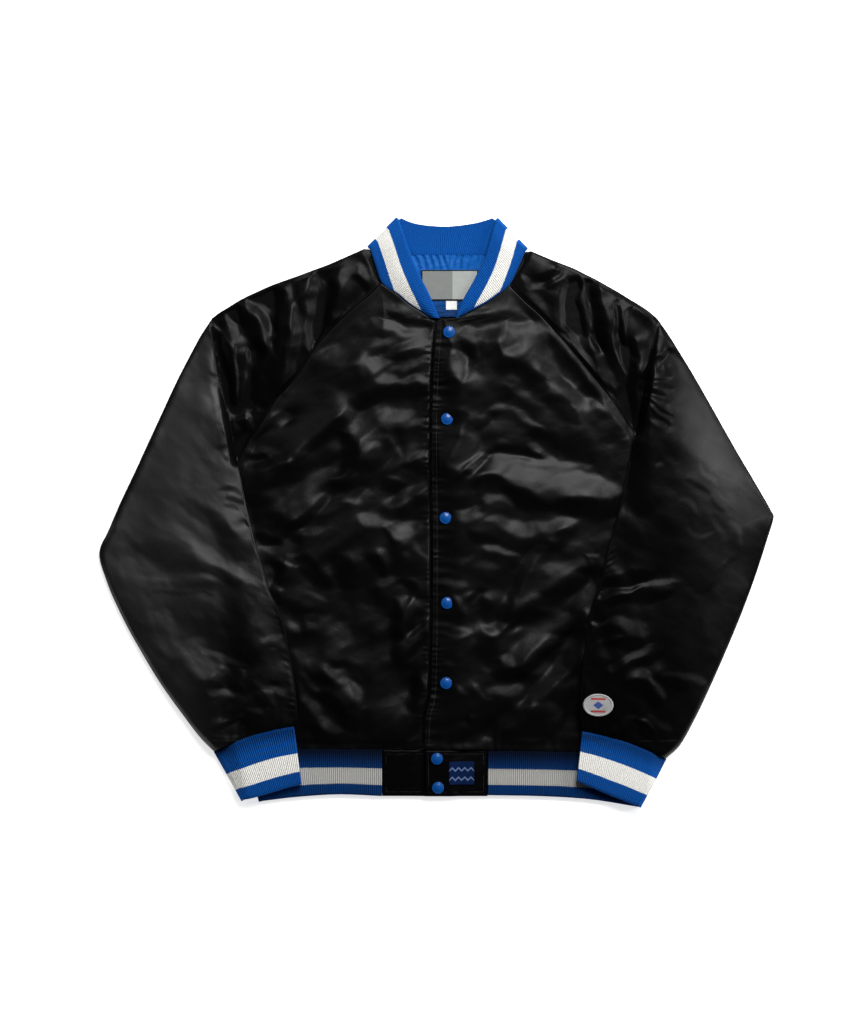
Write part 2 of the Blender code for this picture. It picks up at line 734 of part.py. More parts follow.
def on_welt(x, y, corner, outward):
    """1 over a welt, falling to 0 round it."""
    down = corner[1] - y
    across = outward * (x - corner[0]) - WELT_SLANT * down
    off = np.maximum(np.maximum(-across, across - WELT_WIDTH), 0.0)
    off = np.maximum(off, np.maximum(-down, down - WELT_LENGTH))
    return 1.0 - smooth((off - WELT_CLEAR) / WELT_CLEAR)


def rest_height(x, y, side):
    """Height of what lies under a sleeve: 0 beside the body, its top on it."""
    if side == "left":
        front, fold, outward, corner, top_of = (
            LEFT_OF_FRONT, HEM_LEFT, -1.0, WELT_LEFT, left_front_top,
        )
    else:
        front, fold, outward, corner, top_of = (
            RIGHT_OF_FRONT, HEM_RIGHT, 1.0, WELT_RIGHT, right_front_top,
        )
    row = np.argmax(np.abs(fold["edge_x"]))
    edge = column(joined((front["x"], front["y"]), (fold["edge_x"][row], fold["edge_y"][row])), y)
    inside = outward * (edge - x)
    x_on = np.where(inside > 0.0, x, edge)
    top = top_of(x_on, np.maximum(y, HEM_Y))
    top = top + (WELT_WALL + TRIM_LIFT + WELT_SPARE) * on_welt(x, y, corner, outward)
    hem = 2.0 * KNIT_WALL + LAY_GAP + RIB_HEIGHT + BAND_BULGE
    rise = (HEM_Y + HEM_RISE_END - y) / (HEM_RISE_END - HEM_RISE_START)
    top = np.maximum(top, hem * smooth(rise))
    return (top + REST_GAP) * smooth((inside + REST_RAMP) / (REST_RAMP - REST_LEVEL))


def sleeve(name, raglan, arm, side, folds_table, look):
    """A flat tube: its slit runs in from the raglan seam and the underarm seam."""
    out_x = np.concatenate([raglan["fold_x"], arm["out_x"]])
    out_y = np.concatenate([raglan["fold_y"], arm["out_y"]])
    front_x = np.concatenate([raglan["front_x"], arm["in_x"]])
    front_y = np.concatenate([raglan["front_y"], arm["in_y"]])
    back_x = np.concatenate([raglan["back_x"], arm["in_x"]])
    back_y = np.concatenate([raglan["back_y"], arm["in_y"]])
    crest = np.concatenate([raglan["crest"], arm["crest"]])[:, None]
    bow = np.concatenate([0.0 * raglan["crest"], arm["bow"]])[:, None]
    is_arm = np.arange(len(out_x)) >= len(raglan["crest"])
    outline_x = np.concatenate([out_x, front_x[::-1], out_x[:1]])
    outline_y = np.concatenate([out_y, front_y[::-1], out_y[:1]])
    step = 0.5 * SEAM_GAP * (-1.0 if side == "left" else 1.0)
    shares = np.array(SLEEVE_SHARES)[None, :]

    def across(in_x, in_y, part):
        """Points a share of the way from the seam to the outer fold."""
        start = in_x[:, None] + step
        x = start + (out_x[:, None] - start) * part
        y = in_y[:, None] + (out_y - in_y)[:, None] * part
        return x, y + bow * 4.0 * part * (1.0 - part)

    halves = {}
    for half, in_x, in_y in (("top", front_x, front_y), ("under", back_x, back_y)):
        x, y = across(in_x, in_y, shares)
        width = np.hypot(out_x - in_x, out_y - in_y)[:, None]
        to_out, to_in = (1.0 - shares) * width, shares * width
        slit_x, slit_y = across(in_x, in_y, np.minimum(shares, 1.0 - SLIT_STOP / width))
        rest = np.where(is_arm[:, None], rest_height(x, y, side), 0.0)
        middle = rest + SLEEVE_UNDER_WALL + LAY_GAP / 2
        slit_rest = np.where(is_arm[:, None], rest_height(slit_x, slit_y, side), 0.0)
        slit_z = slit_rest + SLEEVE_UNDER_WALL + LAY_GAP / 2
        open_slit = LAY_GAP / 2 * (shares < 1.0)
        if half == "top":
            inside = from_curve(x, y, outline_x, outline_y)
            wall = pad(inside, PAD_SLEEVE)
            lift = crest * smooth(to_in / CREST_REACH) + folds(x, y, folds_table)
            lift = lift * smooth(inside / SLEEVE_FOLD_FADE)
            soft = SOFT_LEAST + (1.0 - SOFT_LEAST) * rounded(to_in / SOFT_EDGE)
            soft = np.where(is_arm[:, None], soft, 1.0)
            z = middle + open_slit + (wall * soft + lift) * rounded(to_out / SOFT_EDGE)
            slit_z = slit_z + open_slit
        else:
            z = middle - (middle - rest) * rounded(to_out / UNDER_EDGE)
            slit_z = slit_z - open_slit
        halves[half] = (
            np.stack([x, y, z], axis=2),
            np.stack([slit_x, slit_y, slit_z], axis=2),
        )
    # Both halves share the column at the outer fold.
    outer, inner = (
        np.concatenate([halves["top"][i], halves["under"][i][:, -2::-1]], axis=1)
        for i in (0, 1)
    )
    points, faces = closed_sheet(outer, inner)
    return mesh_object(name, points, faces, look)


def run_stations(rows, pitch):
    """A band's stations along a table, a given pitch apart, or only its rows."""
    middle_x = 0.5 * (rows["seam_x"] + rows["edge_x"])
    middle_y = 0.5 * (rows["seam_y"] + rows["edge_y"])
    length = np.concatenate([[0.0], np.cumsum(np.hypot(np.diff(middle_x), np.diff(middle_y)))])
    at = length
    if pitch:
        at = np.linspace(0.0, length[-1], 2 * int(round(length[-1] / pitch)) + 1)
    return {name: np.interp(at, length, rows[name]) for name in rows}


def band_grid(rows, pitch, shares):
    """x, y of a band run's grid: a row for each station, a column for each share."""
    at = run_stations(rows, pitch)
    x = at["seam_x"][:, None] + (at["edge_x"] - at["seam_x"])[:, None] * shares
    y = at["seam_y"][:, None] + (at["edge_y"] - at["seam_y"])[:, None] * shares
    return x, y


def fold_normal(rows):
    """Unit direction out of a run over its last row, square to that row."""
    line_x = rows["edge_x"][-1] - rows["seam_x"][-1]
    line_y = rows["edge_y"][-1] - rows["seam_y"][-1]
    out_x, out_y = -line_y, line_x
    run_x = rows["seam_x"][-1] - rows["seam_x"][-2]
    run_y = rows["seam_y"][-1] - rows["seam_y"][-2]
    turn = math.copysign(1.0, out_x * run_x + out_y * run_y) / math.hypot(out_x, out_y)
    return out_x * turn, out_y * turn


def trimmed_end(rows, radius):
    """A run whose last row is drawn back by the radius of the fold that follows."""
    kept = {name: values.copy() for name, values in rows.items()}
    out_x, out_y = fold_normal(rows)
    for part in ("seam", "edge"):
        x, y = kept[part + "_x"], kept[part + "_y"]
        along_x, along_y = x[-1] - x[-2], y[-1] - y[-2]
        back = radius / (along_x * out_x + along_y * out_y)
        x[-1] -= along_x * back
        y[-1] -= along_y * back
    return kept


def reversed_rows(rows):
    return {name: values[::-1] for name, values in rows.items()}


def fold_stations(x, y, out_x, out_y, middle):
    """Half a turn from the upper layer to the lower one about the line x, y."""
    outer, inner = [], []
    for angle in np.radians(FOLD_ANGLES):
        for points, radius in ((outer, FOLD_RADIUS), (inner, LAY_GAP / 2)):
            away = radius * math.cos(angle)
            z = middle + radius * math.sin(angle)
            points.append(np.stack([x + out_x * away, y + out_y * away, z], axis=1))
    return np.array(outer), np.array(inner)


def knit_band(name, upper_runs, lower_run, look, rest, lift, lower_pitch=None, lower_ribs=None):
    """A double-knit band that is folded flat at the ends of its upper runs.

    Each upper run starts at an end of the band and goes to a fold. The outer face of
    an upper run is ribbed; its inner face and the lower layer stay plain, except
    where lower_ribs asks for ribs on the lower layer's inner face, which faces up.
    """
    shares = np.array(BAND_SHARES)[None, :]
    outer, inner = [], []

    def upper(rows, backwards):
        x, y = band_grid(trimmed_end(rows, FOLD_RADIUS), RIB_PITCH, shares)
        bulge = BAND_BULGE * 4.0 * shares * (1.0 - shares)
        base = rest(x, y) + KNIT_WALL + LAY_GAP
        base = base + lift(x, y, np.broadcast_to(shares, x.shape), rows)
        rib = RIB_HEIGHT * (np.arange(len(x)) % 2)[:, None]
        faces = [
            np.stack([x, y, base + KNIT_WALL + bulge + rib], axis=2),
            np.stack([x, y, base], axis=2),
        ]
        middle = rest(x[-1], y[-1]) + KNIT_WALL + LAY_GAP / 2
        turn = fold_stations(x[-1], y[-1], *fold_normal(rows), middle)
        faces = [np.concatenate([face, part]) for face, part in zip(faces, turn)]
        return [face[::-1] for face in faces] if backwards else faces

    first = upper(upper_runs[0], False)
    outer.append(first[0])
    inner.append(first[1])
    lower = reversed_rows(trimmed_end(reversed_rows(lower_run), FOLD_RADIUS + 1.0))
    if len(upper_runs) > 1:
        lower = trimmed_end(lower, FOLD_RADIUS + 1.0)
    x, y = band_grid(lower, lower_pitch, shares)
    floor = rest(x, y)
    ribs = lower_ribs(x, y) if lower_ribs else 0.0
    outer.append(np.stack([x, y, floor], axis=2))
    inner.append(np.stack([x, y, floor + KNIT_WALL + ribs], axis=2))
    if len(upper_runs) > 1:
        last = upper(upper_runs[1], True)
        outer.append(last[0])
        inner.append(last[1])
    points, faces = closed_sheet(np.concatenate(outer), np.concatenate(inner))
    return mesh_object(name, points, faces, look, MERGE_ANGLE)


def off_the_seam(rows):
    """A band's rows with the seam moved in by the seam gap."""
    kept = {name: values.copy() for name, values in rows.items()}
    long = np.hypot(rows["edge_x"] - rows["seam_x"], rows["edge_y"] - rows["seam_y"])
    for axis in ("_x", "_y"):
        kept["seam" + axis] += (rows["edge" + axis] - rows["seam" + axis]) * SEAM_GAP / long
    return kept


def on_the_floor(x, y):
    return np.zeros(np.shape(x))


def no_lift(x, y, shares, rows):
    return 0.0


def collar_lift(x, y, shares, rows):
    """Rise of the collar's fronts over the back neck, away from the shoulder fold."""
    last = from_line(
        x, y, rows["seam_x"][-1], rows["seam_y"][-1], rows["edge_x"][-1], rows["edge_y"][-1]
    )
    over_back = BACK_WALL - KNIT_WALL + COLLAR_CLEAR
    rise = over_back + COLLAR_LIFT * smooth(shares / COLLAR_RISE_SHARE)
    return rise * smooth(last / COLLAR_RAMP)


def collar(look):
    def ribs(x, y):
        """Ribs on the back collar's upturned face, where the fronts leave it bare."""
        left, right = (
            column({"x": rows["edge_x"], "y": rows["edge_y"]}, y)
            for rows in (COLLAR_LEFT, COLLAR_RIGHT)
        )
        bare = (x > left + RIB_PITCH) & (x < right - RIB_PITCH)
        return RIB_HEIGHT * (np.arange(len(x)) % 2)[:, None] * bare

    left, back, right = (
        off_the_seam(rows) for rows in (COLLAR_LEFT, COLLAR_BACK, COLLAR_RIGHT)
    )
    return knit_band(
        "collar_rib",
        [left, reversed_rows(right)],
        back,
        look,
        on_the_floor,
        collar_lift,
        RIB_PITCH,
        ribs,
    )


def with_seam_y(rows):
    """Hem rows with their seam on the hem line."""
    rows = dict(rows)
    rows["seam_y"] = HEM_Y + HEM_TILT * rows["seam_x"]
    return rows


def hem_band(look):
    left, back, right = (
        off_the_seam(with_seam_y(rows)) for rows in (HEM_LEFT, HEM_BACK, HEM_RIGHT)
    )
    return knit_band(
        "hem_rib", [left, reversed_rows(right)], back, look, on_the_floor, no_lift
    )


def cuff(name, rows, arm, side, look):
    """A cuff sewn to the last section of its sleeve."""
    share = rows["share"]
    start_x, start_y = arm["in_x"][-1], arm["in_y"][-1]
    rows = {
        "seam_x": start_x + (arm["out_x"][-1] - start_x) * share,
        "seam_y": start_y
        + (arm["out_y"][-1] - start_y) * share
        + arm["bow"][-1] * 4.0 * share * (1.0 - share),
        "edge_x": rows["edge_x"],
        "edge_y": rows["edge_y"],
    }
    rows = off_the_seam(rows)
    return knit_band(
        name,
        [rows],
        reversed_rows(rows),
        look,
        lambda x, y: rest_height(x, y, side),
        no_lift,
        CUFF_LOWER_PITCH,
    )


def hem_block(name, x0, x1, lap, look):
    """A satin block at the end of the hem band, on the left or the right front."""
    between = np.arange(x0 + BLOCK_STEP, x1 - BLOCK_STEP / 2, BLOCK_STEP)
    edges = [x0 + SEAM_GAP, *between, x1 - SEAM_GAP]
    share = np.array(BLOCK_SHARES)[:, None]
    x = np.repeat(np.array(edges)[None, :], len(share), axis=0)
    bottom = np.interp(
        x,
        [BLOCK_LEFT_X, BLOCK_RIGHT_X],
        [BLOCK_BOTTOM_LEFT_Y, BLOCK_BOTTOM_RIGHT_Y],
    )
    seam = HEM_Y + HEM_TILT * x - SEAM_GAP
    y = bottom + (seam - bottom) * share
    base = KNIT_WALL + LAY_GAP
    edge = FRONT_EDGE["x"][-1]
    if lap == "under":
        covered = smooth((x - edge + STEP_RUN) / (STEP_RUN - STEP_CLEAR / 2))
        low = np.full(x.shape, base)
        high = base + BLOCK_WALL + (UNDERLAP_WALL - BLOCK_WALL) * covered
    else:
        low = base + (UNDERLAP_WALL + LAY_GAP) * right_lap(x, HEM_Y)
        high = low + BLOCK_WALL
    at_edge = (share == 0.0) | (share == 1.0)
    high = high - BLOCK_ROUND * at_edge * (high - low > UNDERLAP_WALL)
    return wall_object(name, x, y, low, high, look)


def surface_of(obj, beside=0.0):
    """A function for the height of an object's top at x, y, and of what is beside it."""
    bpy.context.view_layer.update()
    tree = BVHTree.FromObject(obj, bpy.context.evaluated_depsgraph_get())

    def height(x, y):
        high = Vector((float(x) * MM, float(y) * MM, 1.0))
        place = tree.ray_cast(high, Vector((0.0, 0.0, -1.0)))[0]
        return place.z / MM if place else beside

    return np.vectorize(height)


def laid_on(name, x, y, surface, wall, look):
    """A thin piece made from the points of what it lies on, moved out."""
    low = surface(x, y) + TRIM_LIFT
    return wall_object(name, x, y, low, low + wall, look)


def welt(name, corner, outward, surface, look):
    down = np.linspace(0.0, WELT_LENGTH, WELT_ROWS)[:, None]
    across = np.linspace(0.0, WELT_WIDTH, WELT_COLUMNS)[None, :]
    x = corner[0] + outward * (across + WELT_SLANT * down)
    y = corner[1] - down + 0.0 * across
    at_edge = (across == 0.0) | (across == WELT_WIDTH)
    return laid_on(name, x, y, surface, WELT_WALL - WELT_ROUND * at_edge, look)


def rectangle(x0, y0, width, height, columns, rows):
    x, y = np.meshgrid(
        np.linspace(x0, x0 + width, columns), np.linspace(y0, y0 + height, rows)
    )
    return x, y


def neck_lining(surface, look):
    """The lining that shows in the neck, out to under the collar's fronts."""
    low_y = NECK_LEFT["y"][0] + LINING_START
    heights = np.linspace(low_y, NECK_BACK_Y - SEAM_GAP, LINING_ROWS)

    def middle_of(rows):
        middle = {
            axis: rows["seam_" + axis] + LINING_UNDER * (rows["edge_" + axis] - rows["seam_" + axis])
            for axis in "xy"
        }
        return lambda h: column(middle, h)

    x, y = grid_between(
        middle_of(COLLAR_LEFT), middle_of(COLLAR_RIGHT), heights, np.linspace(0, 1, LINING_COLUMNS)
    )
    label_top = NECK_LABEL[1] + NECK_LABEL[3]
    away = np.clip((y - label_top) / (NECK_BACK_Y - label_top), 0.0, 1.0)
    wave = 0.5 + 0.5 * np.sin(2.0 * math.pi * x / LINING_WAVE)
    wrinkle = LINING_WRINKLE * away * wave
    return laid_on("lining_neck", x, y, surface, LINING_WALL + wrinkle, look)


def patch(surface, look):
    """An oval patch with a raised rim: a square grid drawn out to an oval."""
    u, v = rectangle(-1.0, -1.0, 2.0, 2.0, PATCH_GRID, PATCH_GRID)
    across, up = u * np.sqrt(1.0 - v * v / 2.0), v * np.sqrt(1.0 - u * u / 2.0)
    x = PATCH_CENTRE[0] + PATCH_HALF[0] * across
    y = PATCH_CENTRE[1] + PATCH_HALF[1] * up
    rim = np.maximum(np.abs(u), np.abs(v)) > PATCH_RIM_SHARE
    return laid_on("sleeve_patch", x, y, surface, PATCH_WALL + PATCH_RIM * rim, look)


def snap(name, x, y, surface, look):
    """A round cap: its profile is turned about its own axis."""
    around = np.linspace(0.0, 2.0 * math.pi, SNAP_SIDES, endpoint=False)
    foot = SNAP_RADIUS - SNAP_FOOT
    seat = float(np.max(surface(x + foot * np.cos(around), y + foot * np.sin(around))))
    work = bmesh.new()
    profile = [
        (0.0, 0.0),
        (foot, 0.0),
        (SNAP_RADIUS, SNAP_FOOT),
        (SNAP_RADIUS - SNAP_ROLL, SNAP_HEIGHT - SNAP_CROWN),
        (SNAP_RADIUS - SNAP_SHOULDER, SNAP_HEIGHT - SNAP_ROLL),
        (0.0, SNAP_HEIGHT),
    ]
    points = [work.verts.new((r * MM, 0.0, z * MM)) for r, z in profile]
    edges = [work.edges.new(pair) for pair in zip(points[:-1], points[1:])]
    bmesh.ops.spin(
        work,
        geom=points + edges,
        cent=(0.0, 0.0, 0.0),
        axis=(0.0, 0.0, 1.0),
        angle=2.0 * math.pi,
        steps=SNAP_SIDES,
        use_merge=True,
    )
    bmesh.ops.remove_doubles(work, verts=work.verts, dist=1e-6)
    bmesh.ops.recalc_face_normals(work, faces=work.faces)
    mesh = bpy.data.meshes.new(name)
    work.to_mesh(mesh)
    work.free()
    mesh.shade_smooth()
    mesh.materials.append(look)
    obj = bpy.data.objects.new(name, mesh)
    obj.location = (x * MM, y * MM, (seat + TRIM_GAP) * MM)
    bpy.context.scene.collection.objects.link(obj)


def main():
    clear_scene()
    satin = material("black_satin", BLACK_SATIN, 0.42)
    knit = material("royal_rib_knit", ROYAL_KNIT, 0.9)
    lining = material("blue_lining", LINING_BLUE, 0.5)
    enamel = material("snap_enamel", SNAP_BLUE, 0.25)
    grey = material("label_grey", LABEL_GREY, 0.8)
    white = material("tab_white", TAB_WHITE, 0.8)
    navy = material("label_navy", NAVY, 0.8)

    back_panel(satin)
    front_left(satin)
    front_right(satin)
    sleeve("sleeve_left", RAGLAN_LEFT, ARM_LEFT, "left", FOLDS_SLEEVE_LEFT, satin)
    sleeve("sleeve_right", RAGLAN_RIGHT, ARM_RIGHT, "right", FOLDS_SLEEVE_RIGHT, satin)
    collar(knit)
    hem_band(knit)
    cuff("cuff_left", CUFF_LEFT, ARM_LEFT, "left", knit)
    cuff("cuff_right", CUFF_RIGHT, ARM_RIGHT, "right", knit)
    edge = FRONT_EDGE["x"][-1]
    hem_block("hem_block_left", BLOCK_LEFT_X, edge + UNDERLAP, "under", satin)
    hem_block("hem_block_right", edge, BLOCK_RIGHT_X, "over", satin)

    on = {obj.name: surface_of(obj) for obj in list(bpy.data.objects)}
    welt("pocket_welt_left", WELT_LEFT, -1.0, on["front_left"], satin)
    welt("pocket_welt_right", WELT_RIGHT, 1.0, on["front_right"], satin)
    neck_lining(surface_of(bpy.data.objects["back"], BACK_WALL), lining)
    lining_top = BACK_WALL + TRIM_LIFT + LINING_WALL + LINING_WRINKLE
    on_lining = surface_of(bpy.data.objects["lining_neck"], lining_top)
    laid_on("neck_label", *rectangle(*NECK_LABEL, 8, 4), on_lining, LABEL_WALL, grey)
    laid_on("size_tab", *rectangle(*SIZE_TAB, 3, 3), on_lining, LABEL_WALL, white)
    laid_on(
        "hem_label", *rectangle(*HEM_LABEL, 9, 3), on["hem_block_right"], LABEL_WALL, navy
    )
    patch(on["sleeve_right"], white)
    for number, (x, y) in enumerate(zip(SNAPS["x"], SNAPS["y"]), start=1):
        carrier = "front_right" if y > HEM_Y else "hem_block_right"
        snap(f"snap_{number}", x, y, on[carrier], enamel)


if __name__ == "__main__":
    main()
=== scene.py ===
"""Satin varsity jacket, laid flat with its front up: the cloth, knit and metal that show.

Every size is in millimetres until a mesh is made. +X runs to the viewer's right, +Y
towards the collar and +Z up from the surface that the jacket lies on. A piece takes the
place of the solid of the same name.
"""

import math

import bpy
import numpy as np
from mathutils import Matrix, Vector


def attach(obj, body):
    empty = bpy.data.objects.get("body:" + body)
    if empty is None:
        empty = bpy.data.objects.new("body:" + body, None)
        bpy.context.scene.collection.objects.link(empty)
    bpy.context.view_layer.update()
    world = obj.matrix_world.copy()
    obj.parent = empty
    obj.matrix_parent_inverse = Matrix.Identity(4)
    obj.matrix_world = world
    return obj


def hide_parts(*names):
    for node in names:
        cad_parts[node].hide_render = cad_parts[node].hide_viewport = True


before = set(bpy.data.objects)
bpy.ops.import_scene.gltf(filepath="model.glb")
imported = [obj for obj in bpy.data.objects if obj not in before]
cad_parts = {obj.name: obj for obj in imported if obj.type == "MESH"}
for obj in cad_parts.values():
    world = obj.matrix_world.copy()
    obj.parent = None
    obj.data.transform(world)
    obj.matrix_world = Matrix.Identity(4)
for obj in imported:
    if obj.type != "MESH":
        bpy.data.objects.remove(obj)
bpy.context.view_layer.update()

bl_info = {
    "name": "Satin varsity jacket",
    "version": (1, 0, 0),
    "blender": (4, 5, 0),
    "location": "3D View > Sidebar > Jacket",
    "description": "Builds a padded satin jacket, laid flat, piece by piece",
    "category": "Add Mesh",
}

MM = 0.001
BODY = "root"

# Cloth walls and gaps.
SEAM_GAP = 0.3
LAY_GAP = 0.5
BACK_WALL = 5.0
SLEEVE_UNDER_WALL = 4.5
PAD_EDGE = 4.0
PUFF_REACH = 62.0
SOFT_EDGE = 24.0
OUTER_EDGE = 11.0
UNDER_EDGE = 9.0
SEAM_ROLL = 1.8
SEAM_FLOOR = 3.1
UNDERLAP = 32.0
UNDERLAP_WALL = 3.0
STEP_RUN = 14.0
LEFT_STEP = 5.0
STEP_CLEAR = 2.0
LAP_TOP = 2.4
LAP_TUCK = 6.0
KNIT_WALL = 4.0
HEM_Y = -304.5
HEM_TILT = -0.012
HEM_TILT_REACH = 60.0
NECK_BACK_Y = 327.6
REST_GAP = 2.2
REST_RAMP = 34.0
REST_LEVEL = 6.0
LONG_RAMP = 120.0
HEM_RISE_START = 10.0
HEM_RISE_END = 30.0
SLIT_STOP = 5.0
BLOCK_WALL = 4.0
COLLAR_LIFT = 3.9
COLLAR_RAMP = 26.0
COLLAR_RISE_SHARE = 0.6
COLLAR_CLEAR = 0.6
FOLD_RADIUS = KNIT_WALL + LAY_GAP / 2
TRIM_LIFT = 0.45
LABEL_WALL = 0.8
STITCH_PITCH = 3.2

# The way the key light comes from, seen from above. Cloth that leans this way is bright.
LIGHT_X, LIGHT_Y = 0.35, 0.937
SIDE_LIGHT_X, SIDE_LIGHT_Y = 0.97, 0.243

# How steep a lean of 1 is towards the key light, and towards the side light.
LIGHTS = ((LIGHT_X, LIGHT_Y, 0.47), (SIDE_LIGHT_X, SIDE_LIGHT_Y, 0.8))


def table(columns, *rows):
    """A dict of one array for each named column."""
    values = np.array(rows, float)
    return {name: values[:, i] for i, name in enumerate(columns.split())}


def denser(rows, parts):
    """The table with rows added between its own, on a curve through them.

    Each column is a cubic between two rows. Its slope at a row is the harmonic mean of
    the steps before and after it, or 0 where they turn round, so it never overshoots.
    """
    result = {}
    for name, values in rows.items():
        steps = np.diff(values)
        before, after = steps[:-1], steps[1:]
        same = before * after > 0.0
        mean = np.where(same, 2.0 * before * after / np.where(same, before + after, 1.0), 0.0)
        slope = np.concatenate([steps[:1], mean, steps[-1:]])
        t = np.linspace(0.0, len(values) - 1.0, (len(values) - 1) * parts + 1)
        i = np.minimum(t.astype(int), len(values) - 2)
        s = t - i
        result[name] = (
            values[i] * (1 + 2 * s) * (1 - s) ** 2
            + values[i + 1] * s**2 * (3 - 2 * s)
            + slope[i] * s * (1 - s) ** 2
            - slope[i + 1] * s**2 * (1 - s)
        )
    return result


def outline(columns, *rows):
    """A table of outlines, rounded between its rows."""
    return denser(table(columns, *rows), 4)


RAGLAN_LEFT = outline(
    "out_x out_y front_x front_y back_x back_y",
    (-93, 338, -71.5, 293, -34, 328), (-110.7, 330.2, -85.8, 278.5, -64, 300),
    (-141, 317, -110, 258, -98, 269.3), (-159, 310.5, -128, 240.5, -128, 240.5),
    (-176, 304, -151.9, 214.8, -151.9, 214.8), (-196, 297, -165, 195, -165, 195),
    (-213.1, 290.6, -181.4, 170.6, -181.4, 170.6), (-229, 283.5, -193.6, 157.1, -193.6, 157.1),
    (-244, 276.5, -205.8, 143.7, -205.8, 143.7), (-257, 269.5, -216, 128.5, -216, 128.5),
    (-268, 262.5, -225.4, 114.3, -225.4, 114.3), (-278, 256.5, -238, 94, -238, 94),
    (-288, 249, -254.8, 65.3, -254.8, 65.3),
)
ARM_LEFT = outline(
    "out_x out_y in_x in_y bow",
    (-291, 244.5, -256.6, 64.6, 0), (-302.7, 226.6, -251, 48, 0), (-315, 204, -247.5, 30, 0),
    (-334, 167, -243, 9, 0), (-353.9, 124.2, -236, -20, 0), (-372, 85, -229.8, -44.8, 0),
    (-389, 48, -221, -72, 0), (-405.1, 14.1, -213.1, -99.8, 0), (-420.5, -21.8, -203, -122, 0),
    (-433.2, -53.8, -193, -150, 0), (-423, -90.9, -187.5, -183, 0), (-402.6, -137, -182.5, -209, 0),
    (-379.5, -179.2, -179.8, -230, 0), (-353.9, -221.4, -178, -246, 1),
    (-328.3, -257.3, -177.3, -258, 3), (-302.7, -290.6, -178.5, -268, 5),
    (-286.1, -307.2, -182.4, -274, 6),
)
RAGLAN_RIGHT = outline(
    "out_x out_y front_x front_y back_x back_y",
    (122, 335, 94, 290, 62, 328), (138.9, 327.7, 114.2, 268.8, 88, 300),
    (156.5, 320.6, 127.4, 257.3, 113, 273.5), (176, 313, 145, 239.9, 145, 239.9),
    (192, 305, 157, 226.8, 157, 226.8), (207, 297.5, 168.1, 214.8, 168.1, 214.8),
    (221, 289.5, 184, 195.2, 184, 195.2), (234.9, 281.6, 199.9, 175.6, 199.9, 175.6),
    (247, 274, 213.4, 158.5, 213.4, 158.5), (259, 267, 226.8, 141.3, 226.8, 141.3),
    (271, 259, 240, 121, 240, 121), (283, 249, 254.5, 101, 254.5, 101),
)
ARM_RIGHT = outline(
    "out_x out_y in_x in_y bow",
    (286.5, 244.5, 256.4, 100.2, 0), (298.9, 226.6, 251, 85, 0), (311.7, 206.1, 247, 66, 0),
    (330, 176, 241, 40, 0), (350, 141, 235, 13.5, 0), (370, 105.5, 229, -12, 0),
    (388.5, 73, 222.5, -36, 0), (408, 40, 215, -64, 0), (429.4, 2.6, 209, -88, 0),
    (433.2, -6.4, 204, -103, 0), (424, -38, 196.5, -125.4, 0), (409, -84, 191.5, -152, 0),
    (392, -130, 188.8, -176.6, 0), (372.5, -177, 185.8, -200, 0), (350, -228, 184, -223, 1),
    (331, -267.5, 183.2, -246, 3), (311.7, -300.8, 184, -265, 4.5),
    (295, -316.2, 186.2, -280.3, 5.5),
)
SIDE_LEFT = outline(
    "y x", (30.0, -275.0), (-58.9, -282.0), (-177.0, -275.0), (-268.8, -258.0), (HEM_Y, -246.0)
)
SIDE_RIGHT = outline(
    "y x",
    (64, 272), (20, 284), (-58.9, 286), (-177, 283), (-268.8, 272), (HEM_Y, 266),
)
NECK_LEFT = outline(
    "y x", (248.6, -8.0), (258.0, -21.7), (267.5, -37.0), (278.5, -49.8), (293.0, -71.0)
)
NECK_RIGHT = outline(
    "y x", (248.0, 28.0), (257.3, 43.5), (268.8, 65.2), (277.8, 77.8), (290.0, 93.6)
)
FRONT_EDGE = outline(
    "y x",
    (247.2, 0.6), (201, -2.6), (101, -6.1), (-58.9, -5), (-163.8, -5.5), (-234.2, -7.7),
    (-268.8, -15), (HEM_Y, -15.7),
)
COLLAR_LEFT = outline(
    "seam_x seam_y edge_x edge_y",
    (-8, 248.6, 4, 248.2), (-21.7, 258, -1, 260), (-37, 267.5, -9, 278.5),
    (-49.8, 278.5, -19.5, 299.4), (-70.5, 293, -33.5, 330.8), (-79.2, 317, -42.1, 356.5),
    (-87.4, 342.2, -49.9, 379.9),
)
COLLAR_BACK = outline(
    "seam_x seam_y edge_x edge_y",
    (-87, 344.6, -49.9, 379.9), (-61, 335, -34, 372.5), (-34, 328.2, -18, 368.8),
    (14, 327.8, 11, 366.6), (62, 328.2, 44, 370), (89.5, 333.5, 60.7, 373.8),
    (116, 341.6, 76.9, 379.5),
)
COLLAR_RIGHT = outline(
    "seam_x seam_y edge_x edge_y",
    (116.4, 339.4, 76.9, 379.5), (105.5, 314, 69.5, 351.5), (93, 290, 62.5, 327.4),
    (77.8, 277.8, 53, 306.8), (65.2, 268.8, 46, 293.4), (43.5, 257.3, 32.5, 269),
    (28, 248.4, 24.4, 248.4),
)
HEM_LEFT = outline(
    "seam_x edge_x edge_y",
    (-70, -70, -364.6), (-123.5, -123.5, -362.4), (-185, -178, -365.6), (-246, -228, -371.5),
)
HEM_BACK = outline(
    "seam_x edge_x edge_y",
    (-246, -228, -371.5), (-123.5, -123.5, -362.4), (66, 66, -363.5), (200, 190, -368),
    (266, 262, -379),
)
HEM_RIGHT = outline(
    "seam_x edge_x edge_y",
    (266, 262, -379), (200, 190, -368), (130, 130, -364.5), (66, 66, -363.5),
)
CUFF_LEFT = outline(
    "share edge_x edge_y",
    (0, -172.8, -348.2), (0.25, -190, -352.6), (0.5, -211, -359), (0.75, -232, -365),
    (1, -250.2, -369.2),
)
